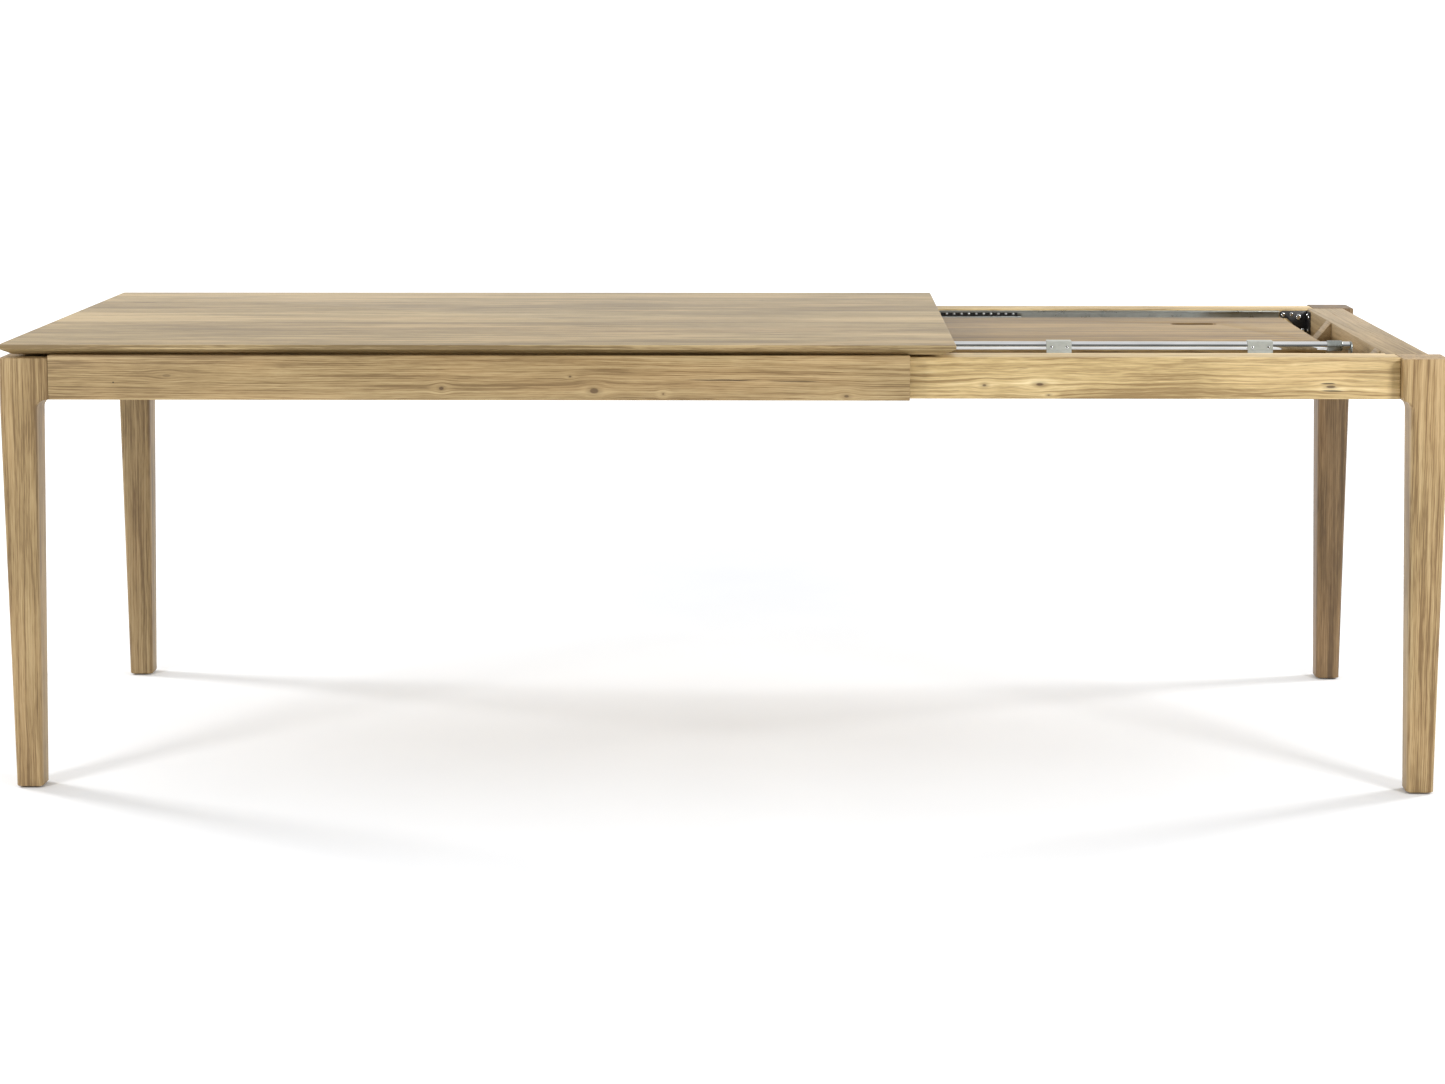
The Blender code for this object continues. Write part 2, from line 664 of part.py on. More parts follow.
def make_guide_tube(extension):
    """The chrome tube, its end sleeve and the two brackets it stands on."""
    pipe("guide_tube", (TUBE_LEFT, TUBE_RIGHT), TUBE_RADIUS, TUBE_WALL, "chrome", extension)
    sleeve_radius = TUBE_RADIUS + GAP + SLEEVE_WALL
    pipe("tube_sleeve", SLEEVE_X, sleeve_radius, SLEEVE_WALL, "zinc", extension)
    make_tube_bracket("tube_bracket_right", TUBE_RIGHT + GAP, 1, extension)
    make_tube_bracket("tube_bracket_left", TUBE_LEFT - GAP - TUBE_PLATE, -1, extension)


# ---------------------------------------------------------------- extension leaf
def make_leaf(leaf):
    """The folded leaf: two halves, with one hand slot cut through both."""
    slot_half = HAND_SLOT[0] / 2 - HAND_SLOT[1] / 2
    slot_radius = HAND_SLOT[1] / 2
    x, y = HAND_SLOT_CENTRE
    ends = arc((x + slot_half, y), slot_radius, -90, 90, 6) + arc((x - slot_half, y), slot_radius, 90, 270, 6)
    span = (LEAF_BOTTOM - 0.01, LEAF_TOP + 0.01)
    slot = curve_to_cutter(prism("hand_slot", ends, "Z", span, "beech", None))
    bottoms = {"lower": LEAF_BOTTOM, "upper": LEAF_BOTTOM + LEAF_SHEET + GAP}
    for half, z in bottoms.items():
        height = (z, z + LEAF_SHEET)
        y_span = (LEAF_NEAR, LEAF_FAR)
        board = block("leaf_" + half, (LEAF_LEFT, LEAF_RIGHT), y_span, height, "leaf_oak", leaf, bevel=0)
        cut = board.modifiers.new("hand_slot", "BOOLEAN")
        cut.operation = "DIFFERENCE"
        cut.solver = "EXACT"
        cut.object = slot
        bevel_edges(board, EASED / 2)
    knuckle_y = LEAF_FAR + GAP + HINGE_RADIUS
    middle = LEAF_BOTTOM + LEAF_SHEET + GAP / 2
    for place, share in HINGE_PLACES.items():
        centre = (LEAF_LEFT + LEAF_LENGTH * share, knuckle_y, middle)
        disc("leaf_hinge_" + place, centre, (1, 0, 0), HINGE_RADIUS, HINGE_LENGTH, 12, "zinc", leaf)


def make_clip(name, middle, leaf):
    """A plastic saddle over the tube, with a tongue on the leaf and a lip at the front."""
    crown = TUBE_Z + TUBE_RADIUS + GAP + CLIP_CROWN
    under_crown = crown - CLIP_CROWN
    front_inside = CLIP_FRONT + CLIP_WALL
    back_inside = TUBE_Y + TUBE_RADIUS + GAP
    back = back_inside + CLIP_WALL
    tongue_bottom = LEAF_TOP + GAP
    tongue_top = tongue_bottom + CLIP_TONGUE_THICKNESS
    section = [
        (CLIP_FRONT, CLIP_LIP_BOTTOM),
        (front_inside, CLIP_LIP_BOTTOM),
        (front_inside, under_crown),
        (back_inside, under_crown),
        (back_inside, tongue_bottom),
        (LEAF_NEAR + CLIP_TONGUE, tongue_bottom),
        (LEAF_NEAR + CLIP_TONGUE, tongue_top),
        (back, tongue_top),
        (back, crown),
        (CLIP_FRONT + 0.001, crown),
        (CLIP_FRONT, crown - 0.001),
    ]
    prism(name, section, "X", (middle - CLIP_WIDTH / 2, middle + CLIP_WIDTH / 2), "clip_plastic", leaf)
    for place, way in (("left", -1), ("right", 1)):
        seat = (middle + way * CLIP_SCREW_OFFSET, CLIP_FRONT, CLIP_SCREW_Z)
        screw_head(name + "_screw_" + place, seat, (0, -1, 0), "chrome", leaf, CLIP_SCREW_RADIUS)


# ---------------------------------------------------------------- assembly
def main():
    """Build the whole table."""
    clear_scene()
    rail_y = RAIL_INNER - 0.0065
    extension = joint_empty("extension_axis", (RAIL_LEFT, 0, SLIDE_MIDDLE))
    leaf = joint_empty("leaf_axis", (LEAF_LEFT, TUBE_Y, TUBE_Z), extension)
    followers = {}
    for kind in ("slide_middle", "outer_cage", "inner_cage"):
        followers[kind] = {
            name: joint_empty(kind + "_axis_" + name, (MIDDLE_CHANNEL_X[0], side * rail_y, SLIDE_MIDDLE))
            for name, side in SIDES.items()
        }
    make_tabletop()
    make_fixed_frame()
    make_slides(extension, followers["slide_middle"], followers["outer_cage"], followers["inner_cage"])
    make_moving_frame(extension)
    make_guide_tube(extension)
    make_leaf(leaf)
    for place, middle in CLIP_CENTRES.items():
        make_clip("leaf_clip_" + place, middle, leaf)


main()
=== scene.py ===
import math

import bmesh
import bpy
from mathutils import Matrix, Vector


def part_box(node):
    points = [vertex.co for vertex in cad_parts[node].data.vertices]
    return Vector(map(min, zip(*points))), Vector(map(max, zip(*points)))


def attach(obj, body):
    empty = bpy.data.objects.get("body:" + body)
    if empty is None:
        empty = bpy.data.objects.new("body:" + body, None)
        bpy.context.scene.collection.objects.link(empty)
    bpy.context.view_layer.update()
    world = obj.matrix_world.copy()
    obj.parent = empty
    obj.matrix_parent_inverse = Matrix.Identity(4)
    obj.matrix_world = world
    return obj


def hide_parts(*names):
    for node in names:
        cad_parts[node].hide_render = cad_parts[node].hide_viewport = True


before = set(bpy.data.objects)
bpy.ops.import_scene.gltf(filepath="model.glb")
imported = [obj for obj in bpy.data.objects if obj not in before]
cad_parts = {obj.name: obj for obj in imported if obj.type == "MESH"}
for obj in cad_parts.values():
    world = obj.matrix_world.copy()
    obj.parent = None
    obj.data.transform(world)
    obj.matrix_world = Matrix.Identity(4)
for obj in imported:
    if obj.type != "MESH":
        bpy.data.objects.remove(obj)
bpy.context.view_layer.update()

SIDES = (("near", -1), ("far", 1))
SMOOTH_ANGLE = math.radians(35)


# ================================================================ places read from the frame
def low(node):
    """A CAD node's lowest corner."""
    return Vector(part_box(node)[0])


def high(node):
    """A CAD node's highest corner."""
    return Vector(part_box(node)[1])


def middle(node):
    """The middle of a CAD node's box."""
    return (low(node) + high(node)) / 2


TOP_Z = high("tabletop").z
FRAME_BOTTOM = low("rail_near").z
CLEARANCE = 0.0003


# ================================================================ mesh making
def mesh_object(name, bm, smooth=True):
    """Make an object of a bmesh whose points are already where they belong."""
    bmesh.ops.recalc_face_normals(bm, faces=bm.faces)
    mesh = bpy.data.meshes.new(name)
    bm.to_mesh(mesh)
    bm.free()
    made = bpy.data.objects.new(name, mesh)
    bpy.context.scene.collection.objects.link(made)
    if smooth:
        mesh.shade_smooth()
        mesh.set_sharp_from_angle(angle=SMOOTH_ANGLE)
    return made


def settle(piece, sharp=SMOOTH_ANGLE):
    """Apply every modifier, and leave the piece at the origin with its place in its mesh."""
    graph = bpy.context.evaluated_depsgraph_get()
    graph.update()
    mesh = bpy.data.meshes.new_from_object(piece.evaluated_get(graph))
    mesh.transform(piece.matrix_world)
    piece.modifiers.clear()
    piece.data = mesh
    piece.matrix_world = Matrix.Identity(4)
    if sharp:
        mesh.shade_smooth()
        mesh.set_sharp_from_angle(angle=sharp)
    return piece


def soften(piece, width, segments=3, angle=30):
    """Round a piece's sharp edges."""
    bevel = piece.modifiers.new("soften", "BEVEL")
    bevel.width = width
    bevel.segments = segments
    bevel.limit_method = "ANGLE"
    bevel.angle_limit = math.radians(angle)
    bevel.harden_normals = False
    return settle(piece)


def finish(piece, material, slot, body, *nodes):
    """Give a piece its material, its body and the nodes that it stands for; slot is not used."""
    piece.data.materials.clear()
    piece.data.materials.append(material)
    for face in piece.data.polygons:
        face.material_index = 0
    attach(piece, body)
    if nodes:
        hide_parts(*nodes)
    return piece


def add_box(bm, lowest, highest):
    """Add a rectangular block to a bmesh."""
    lowest, highest = Vector(lowest), Vector(highest)
    size = Matrix.Diagonal((*(highest - lowest), 1))
    bmesh.ops.create_cube(bm, size=1, matrix=Matrix.Translation((lowest + highest) / 2) @ size)


def arc(centre, radius, start, end, steps):
    """Points along an arc, with angles in degrees."""
    turns = [math.radians(start + (end - start) * i / steps) for i in range(steps + 1)]
    return [(centre[0] + radius * math.cos(t), centre[1] + radius * math.sin(t)) for t in turns]


def add_prism(bm, outline, axis, span):
    """Add an outline, in the two axes other than axis, drawn out along a span of axis."""
    place = {
        "X": lambda u, v, w: (w, u, v),
        "Y": lambda u, v, w: (u, w, v),
        "Z": lambda u, v, w: (u, v, w),
    }[axis]
    first = [bm.verts.new(place(u, v, span[0])) for u, v in outline]
    last = [bm.verts.new(place(u, v, span[1])) for u, v in outline]
    count = len(outline)
    for i in range(count):
        j = (i + 1) % count
        bm.faces.new((first[i], first[j], last[j], last[i]))
    bm.faces.new(first)
    bm.faces.new(last)


def add_loft(bm, rings):
    """Add a closed skin through rings of points."""
    loops = [[bm.verts.new(point) for point in ring] for ring in rings]
    count = len(loops[0])
    for lower, upper in zip(loops, loops[1:]):
        for i in range(count):
            j = (i + 1) % count
            bm.faces.new((lower[i], lower[j], upper[j], upper[i]))
    bm.faces.new(loops[0])
    bm.faces.new(loops[-1])


def add_turned(bm, profile, centre, axis, segments):
    """Add a turned piece: (height, radius) pairs along axis, closed with flat ends."""
    turn = Vector(axis).to_track_quat("Z", "Y").to_matrix()
    rings = []
    for height, radius in profile:
        ring = []
        for i in range(segments):
            a = 2 * math.pi * i / segments
            local = Vector((radius * math.cos(a), radius * math.sin(a), height))
            ring.append(Vector(centre) + turn @ local)
        rings.append(ring)
    add_loft(bm, rings)


def rounded_section(u, v, radii, steps):
    """A rounded rectangle; the radii go round from the corner at (low u, low v)."""
    corners = (
        (u[0], v[0], 1, 1, 180),
        (u[1], v[0], -1, 1, 270),
        (u[1], v[1], -1, -1, 0),
        (u[0], v[1], 1, -1, 90),
    )
    points = []
    for (cu, cv, su, sv, start), radius in zip(corners, radii):
        points += arc((cu + su * radius, cv + sv * radius), radius, start, start + 90, steps)
    return points


def across(side, inner, outer):
    """The (low, high) Y pair of a stretch measured out from the table's middle."""
    return tuple(sorted((side * inner, side * outer)))


# ================================================================ finishes
class Finish:
    """A material under making, with short calls for the nodes that the finishes share."""

    def __init__(self, name):
        self.material = bpy.data.materials.new(name)
        self.material.use_nodes = True
        self.tree = self.material.node_tree
        self.shader = self.tree.nodes["Principled BSDF"]
        self.place = self.node("ShaderNodeTexCoord", {}, "Object")

    def feed(self, socket, value):
        """Link a socket to another, or set its own value."""
        if isinstance(value, bpy.types.NodeSocket):
            self.tree.links.new(value, socket)
        else:
            socket.default_value = value

    def node(self, kind, values, output=0, **settings):
        """Add a node and give back one of its outputs."""
        made = self.tree.nodes.new(kind)
        for key, value in settings.items():
            setattr(made, key, value)
        for key, value in values.items():
            self.feed(made.inputs[key], value)
        return made.outputs[output]

    def calc(self, operation, a, b=0.0, c=0.0, clamp=False):
        """One step of arithmetic."""
        return self.node("ShaderNodeMath", {0: a, 1: b, 2: c}, operation=operation, use_clamp=clamp)

    def stretch(self, scale, vector=None, turn=(0, 0, 0), shift=(0, 0, 0)):
        """The place, scaled differently along each axis."""
        values = {"Vector": vector or self.place, "Scale": scale, "Rotation": turn, "Location": shift}
        return self.node("ShaderNodeMapping", values)

    def noise(self, vector, detail=3.0, roughness=0.55, distortion=0.0, output=0):
        """Noise at the given place."""
        values = {
            "Vector": vector,
            "Scale": 1.0,
            "Detail": detail,
            "Roughness": roughness,
            "Distortion": distortion,
        }
        return self.node("ShaderNodeTexNoise", values, output)

    def span(self, value, low_in, high_in, low_out=0.0, high_out=1.0, smooth=True):
        """Map one stretch of values to another."""
        values = {
            "Value": value,
            "From Min": low_in,
            "From Max": high_in,
            "To Min": low_out,
            "To Max": high_out,
        }
        way = "SMOOTHSTEP" if smooth else "LINEAR"
        return self.node("ShaderNodeMapRange", values, interpolation_type=way)

    def mix(self, share, first, second, blend="MIX"):
        """Mix two colours."""
        made = self.tree.nodes.new("ShaderNodeMix")
        made.data_type = "RGBA"
        made.blend_type = blend
        self.feed(made.inputs["Factor"], share)
        for name, value in (("A", first), ("B", second)):
            sockets = [s for s in made.inputs if s.name == name and s.type == "RGBA"]
            self.feed(sockets[0], value if isinstance(value, bpy.types.NodeSocket) else (*value, 1.0))
        return [s for s in made.outputs if s.type == "RGBA"][0]

    def ramp(self, value, stops):
        """A colour ramp through (position, colour) stops."""
        made = self.tree.nodes.new("ShaderNodeValToRGB")
        self.feed(made.inputs["Fac"], value)
        bands = made.color_ramp.elements
        while len(bands) < len(stops):
            bands.new(0.5)
        for band, (position, colour) in zip(bands, stops):
            band.position = position
            band.color = (*colour, 1.0)
        return made.outputs["Color"]

    def bump(self, height, strength, distance):
        """Raise the surface by a height."""
        values = {"Height": height, "Strength": strength, "Distance": distance}
        self.feed(self.shader.inputs["Normal"], self.node("ShaderNodeBump", values))

    def surface(self, colour, roughness, **constants):
        """Set the shader's colour and roughness, and its constant sockets."""
        if not isinstance(colour, bpy.types.NodeSocket):
            colour = (*colour, 1.0)
        self.feed(self.shader.inputs["Base Color"], colour)
        self.feed(self.shader.inputs["Roughness"], roughness)
        for name, value in constants.items():
            self.shader.inputs[name.replace("_", " ")].default_value = value
        return self.material


# the order of (along the grain, across it, up from the heart) for boards that lie each way
GRAIN_ORDER = {"X": ("X", "Y", "Z"), "Y": ("Y", "X", "Z"), "Z": ("Z", "X", "Y")}
# a board seen on its narrow side has its heart behind it instead of below
GRAIN_ON_EDGE = {"X": ("X", "Z", "Y"), "Y": ("Y", "Z", "X"), "Z": ("Z", "Y", "X")}

OAK_PALE = (0.500, 0.372, 0.190)
OAK_MID = (0.375, 0.262, 0.120)
OAK_DARK = (0.215, 0.137, 0.056)
OAK_TONES = (OAK_DARK, OAK_MID, OAK_PALE)
KNOT_BROWN = (0.085, 0.045, 0.020)
# near-black painted shade that fills the open split of each crack
CRACK_SHADE_BLACK = (0.022, 0.012, 0.006)


def oak(name, grain="X", on_edge=False, stave=0.0, heart=(0.0, -0.06), seed=0.0, ring=0.0030,
        tones=OAK_TONES, knots=(), cracks=(), waver=0.010, lines=1.0, clouds=1.0, roughness=0.46):
    """Oiled solid oak, figured through its thickness.

    heart is where the growth rings are centred, across and up from the origin. A stave width
    splits the wood into glued boards, each with its own tone and its own rings. Knots are
    (place, length, width, depth of colour) and cracks are (place, length, width, slant).
    waver is how far the grain wanders, lines how strongly it is drawn, clouds how patchy it is.
    """
    f = Finish(name)
    order = (GRAIN_ON_EDGE if on_edge else GRAIN_ORDER)[grain]
    parts = f.tree.nodes.new("ShaderNodeSeparateXYZ")
    f.feed(parts.inputs[0], f.place)
    along, side, rise = (parts.outputs[axis] for axis in order)
    true_along, true_side = along, side
    heart_side, heart_rise = heart
    tone, seam = None, None
    if stave:
        wander = f.calc("SINE", f.calc("MULTIPLY", side, 21.0))
        strip = f.calc("ADD", f.calc("DIVIDE", side, stave), f.calc("MULTIPLY", wander, 0.22))
        strip = f.calc("ADD", strip, seed)
        number = f.calc("FLOOR", strip)
        dice = f.node("ShaderNodeTexWhiteNoise", {"W": number}, "Color", noise_dimensions="1D")
        thrown = f.tree.nodes.new("ShaderNodeSeparateColor")
        f.feed(thrown.inputs[0], dice)
        tone, second, third = thrown.outputs
        seam = f.calc("PINGPONG", strip, 0.5)
        along = f.calc("MULTIPLY_ADD", second, 9.0, along)
        board_middle = f.calc("MULTIPLY", f.calc("ADD", number, 0.5 - seed), stave)
        off_middle = f.calc("MULTIPLY", f.calc("SUBTRACT", third, 0.5), stave * 1.5)
        heart_side = f.calc("ADD", board_middle, off_middle)
        heart_rise = f.calc("MULTIPLY_ADD", second, -0.10, -0.05 + TOP_Z)

    shift = (seed * 3.7, seed * 1.9, seed)

    def sample(lengthwise, crosswise, across_place, detail, rough=0.55):
        place = f.node("ShaderNodeCombineXYZ", {"X": along, "Y": across_place, "Z": rise})
        scaled = f.stretch((lengthwise, crosswise, crosswise), place, shift=shift)
        return f.noise(scaled, detail, rough)

    # the grain wanders slowly, and flows round the knots
    slow = sample(1.0, 6.0, side, 2.0)
    ripple = sample(7.0, 26.0, side, 2.0)
    flow = f.calc("MULTIPLY_ADD", f.calc("SUBTRACT", slow, 0.5), waver * 2, side)
    flow = f.calc("MULTIPLY_ADD", f.calc("SUBTRACT", ripple, 0.5), waver * 0.55, flow)
    knot_shade, knot_heart, knot_halo = None, None, None
    for place, length, width, strength in knots:
        ordered = [place["XYZ".index(axis)] for axis in order]
        u = f.calc("DIVIDE", f.calc("SUBTRACT", true_along, ordered[0]), length)
        v = f.calc("DIVIDE", f.calc("SUBTRACT", true_side, ordered[1]), width)
        w = f.calc("DIVIDE", f.calc("SUBTRACT", rise, ordered[2]), 2.0 * width)
        square = f.calc("MULTIPLY_ADD", u, u, f.calc("MULTIPLY_ADD", v, v, f.calc("MULTIPLY", w, w)))
        away = f.calc("SQRT", square)
        rough_away = f.calc("MULTIPLY_ADD", f.calc("SUBTRACT", ripple, 0.5), 1.4, away)
        pull = f.calc("EXPONENT", f.calc("MULTIPLY", square, -0.16))
        flow = f.calc("MULTIPLY_ADD", f.calc("MULTIPLY", pull, v), -0.80 * width, flow)
        shade = f.span(rough_away, 1.7, 0.2, 0.0, 0.70 * strength)
        core = f.span(rough_away, 0.62, 0.25, 0.0, strength)
        halo = f.span(away, 4.5, 1.2, 0.0, 0.5 * strength)
        knot_shade = shade if knot_shade is None else f.calc("MAXIMUM", knot_shade, shade)
        knot_heart = core if knot_heart is None else f.calc("MAXIMUM", knot_heart, core)
        knot_halo = halo if knot_halo is None else f.calc("MAXIMUM", knot_halo, halo)

    streak = sample(2.4, 150.0, flow, 4.0, 0.66)
    band = sample(0.8, 42.0, flow, 2.0)
    dash = sample(26.0, 420.0, flow, 2.0)
    fibre = sample(60.0, 1500.0, flow, 1.0)
    cloud = sample(2.2, 11.0, side, 3.0, 0.6)

    # rings round the heart, drawn out along the grain
    offset = f.node("ShaderNodeCombineXYZ", {
        "X": f.calc("SUBTRACT", flow, heart_side),
        "Y": f.calc("SUBTRACT", rise, heart_rise),
        "Z": 0.0,
    })
    radius = f.node("ShaderNodeVectorMath", {0: offset}, "Value", operation="LENGTH")
    radius = f.calc("MULTIPLY_ADD", along, 0.005, radius)
    radius = f.calc("MULTIPLY_ADD", f.calc("SUBTRACT", slow, 0.5), waver, radius)
    turn = f.calc("FRACT", f.calc("DIVIDE", radius, ring))
    early = f.calc("MULTIPLY", f.span(turn, 0.0, 0.12), f.span(turn, 0.55, 0.14))
    ridge = f.span(f.calc("ABSOLUTE", f.calc("SUBTRACT", band, 0.5)), 0.035, 0.0)

    figure = f.calc("MULTIPLY_ADD", f.calc("SUBTRACT", streak, 0.5), 1.75 * lines, 0.56)
    figure = f.calc("MULTIPLY_ADD", early, -0.17 * lines, figure)
    figure = f.calc("MULTIPLY_ADD", ridge, -0.20 * lines, figure)
    figure = f.calc("MULTIPLY_ADD", f.calc("SUBTRACT", dash, 0.5), 0.75 * lines, figure)
    figure = f.calc("MULTIPLY_ADD", f.calc("SUBTRACT", fibre, 0.5), 0.35, figure)
    figure = f.calc("MULTIPLY_ADD", f.calc("SUBTRACT", cloud, 0.5), 1.00 * clouds, figure)
    figure = f.calc("MULTIPLY_ADD", f.calc("SUBTRACT", slow, 0.5), 0.60 * clouds, figure)
    if tone is not None:
        figure = f.calc("MULTIPLY_ADD", f.calc("SUBTRACT", tone, 0.5), 0.26, figure)
    if knot_halo is not None:
        figure = f.calc("MULTIPLY_ADD", knot_halo, 0.40, figure)
    figure = f.calc("ADD", figure, 0.0, clamp=True)
    colour = f.ramp(figure, ((0.04, tones[0]), (0.50, tones[1]), (0.97, tones[2])))
    blush = f.mix(f.span(cloud, 0.42, 0.66), (1.0, 1.0, 1.0), (1.02, 0.975, 0.95))
    colour = f.mix(1.0, colour, blush, "MULTIPLY")
    pores = f.calc("MULTIPLY", f.span(dash, 0.60, 0.70), f.calc("MULTIPLY_ADD", early, 0.7, 0.3))
    colour = f.mix(f.calc("MULTIPLY", pores, 0.55), colour, OAK_DARK)
    if seam is not None:
        colour = f.mix(f.span(seam, 0.006, 0.002, 0.0, 0.45), colour, OAK_DARK)
    if knot_shade is not None:
        colour = f.mix(knot_shade, colour, OAK_DARK)
        colour = f.mix(knot_heart, colour, KNOT_BROWN)
    split = None
    for place, length, width, slant in cracks:
        ordered = [place["XYZ".index(axis)] for axis in order]
        run = f.calc("SUBTRACT", true_along, ordered[0])
        line = f.calc("MULTIPLY_ADD", run, -slant, f.calc("SUBTRACT", true_side, ordered[1]))
        line = f.calc("MULTIPLY_ADD", f.calc("SUBTRACT", ripple, 0.5), 4.0 * width, line)
        shape = f.node("ShaderNodeCombineXYZ", {
            "X": f.calc("DIVIDE", run, length / 2),
            "Y": f.calc("DIVIDE", line, width / 2),
            "Z": f.calc("DIVIDE", f.calc("SUBTRACT", rise, ordered[2]), 0.012),
        })
        away = f.node("ShaderNodeVectorMath", {0: shape}, "Value", operation="LENGTH")
        open_part = f.span(away, 1.0, 0.55)
        split = open_part if split is None else f.calc("MAXIMUM", split, open_part)
    height = f.calc("MULTIPLY_ADD", pores, -0.55, f.calc("MULTIPLY", dash, 0.30))
    height = f.calc("MULTIPLY_ADD", streak, 0.30, height)
    if split is not None:
        # painted shade: each crack's open split is darkened towards near-black for the shade inside it, with
        # a dip in the bump
        colour = f.mix(f.calc("MULTIPLY", split, 0.88), colour, CRACK_SHADE_BLACK)
        height = f.calc("MULTIPLY_ADD", split, -3.0, height)
    f.bump(height, 0.35, 0.0004)
    rough = f.calc("MULTIPLY_ADD", pores, 0.16, f.calc("MULTIPLY_ADD", streak, 0.14, roughness - 0.07))
    return f.surface(colour, rough, Specular_IOR_Level=0.42)


def zinc_steel(name, grain=(5, 300, 300)):
    """Zinc-plated sheet, a little green-grey, with faint rolling marks and cloudy plating."""
    f = Finish(name)
    rolling = f.noise(f.stretch(grain), 3.0)
    cloud = f.noise(f.stretch((30, 30, 30)), 4.0, 0.6)
    spots = f.noise(f.stretch((420, 420, 420)), 2.0)
    plating = f.calc("MULTIPLY_ADD", cloud, 0.45, 0.275)
    shade = f.calc("MULTIPLY_ADD", f.calc("SUBTRACT", rolling, 0.5), 0.35, plating)
    colour = f.ramp(shade, (
        (0.32, (0.235, 0.250, 0.235)),
        (0.52, (0.315, 0.330, 0.310)),
        (0.74, (0.405, 0.420, 0.395)),
    ))
    f.bump(f.calc("MULTIPLY_ADD", spots, 0.25, rolling), 0.10, 0.0003)
    rough = f.span(f.calc("MULTIPLY_ADD", spots, 0.4, cloud), 0.45, 0.95, 0.26, 0.40)
    return f.surface(colour, rough, Metallic=1.0)


def chrome(name, dull=0.60, clean=0.78, rough=0.05):
    """Polished chrome with hairline wipe marks and a few dull smears."""
    f = Finish(name)
    wipe = f.noise(f.stretch((4, 600, 600)), 2.0)
    smear = f.noise(f.stretch((9, 60, 60)), 3.0)
    dull_tone = (dull, dull + 0.01, dull + 0.01)
    clean_tone = (clean, clean + 0.01, clean + 0.01)
    colour = f.ramp(smear, ((0.3, dull_tone), (0.7, clean_tone)))
    rough = f.calc("ADD", f.span(wipe, 0.45, 0.75, rough, rough + 0.06), f.span(smear, 0.5, 0.8, 0.0, 0.08))
    f.bump(wipe, 0.04, 0.0002)
    return f.surface(colour, rough, Metallic=1.0)


def powder_black(name):
    """Black powder coat with orange peel and rubbed, greyer spots."""
    f = Finish(name)
    peel = f.noise(f.stretch((900, 900, 900)), 2.0)
    rub = f.noise(f.stretch((70, 70, 70)), 4.0, 0.65)
    colour = f.ramp(rub, ((0.40, (0.010, 0.010, 0.011)), (0.78, (0.042, 0.042, 0.044))))
    f.bump(peel, 0.30, 0.0003)
    return f.surface(colour, f.span(rub, 0.3, 0.8, 0.34, 0.52), Specular_IOR_Level=0.5)


def moulded_plastic(name, colour, darker, roughness, glow=0.0):
    """Moulded plastic with a fine matt grain, faint flow marks and a little grime."""
    f = Finish(name)
    flow = f.noise(f.stretch((55, 55, 120)), 3.0, 0.6, 0.6)
    grain = f.noise(f.stretch((1600, 1600, 1600)), 1.0)
    tint = f.mix(f.span(flow, 0.35, 0.75), colour, darker)
    f.bump(f.calc("MULTIPLY_ADD", flow, 0.4, grain), 0.14, 0.0002)
    rough = f.calc("MULTIPLY_ADD", grain, 0.12, roughness - 0.06)
    f.surface(tint, rough)
    if glow:
        f.shader.inputs["Subsurface Weight"].default_value = glow
        f.shader.inputs["Subsurface Radius"].default_value = (0.002, 0.002, 0.0016)
        f.shader.inputs["Subsurface Scale"].default_value = 1.0
    return f.material


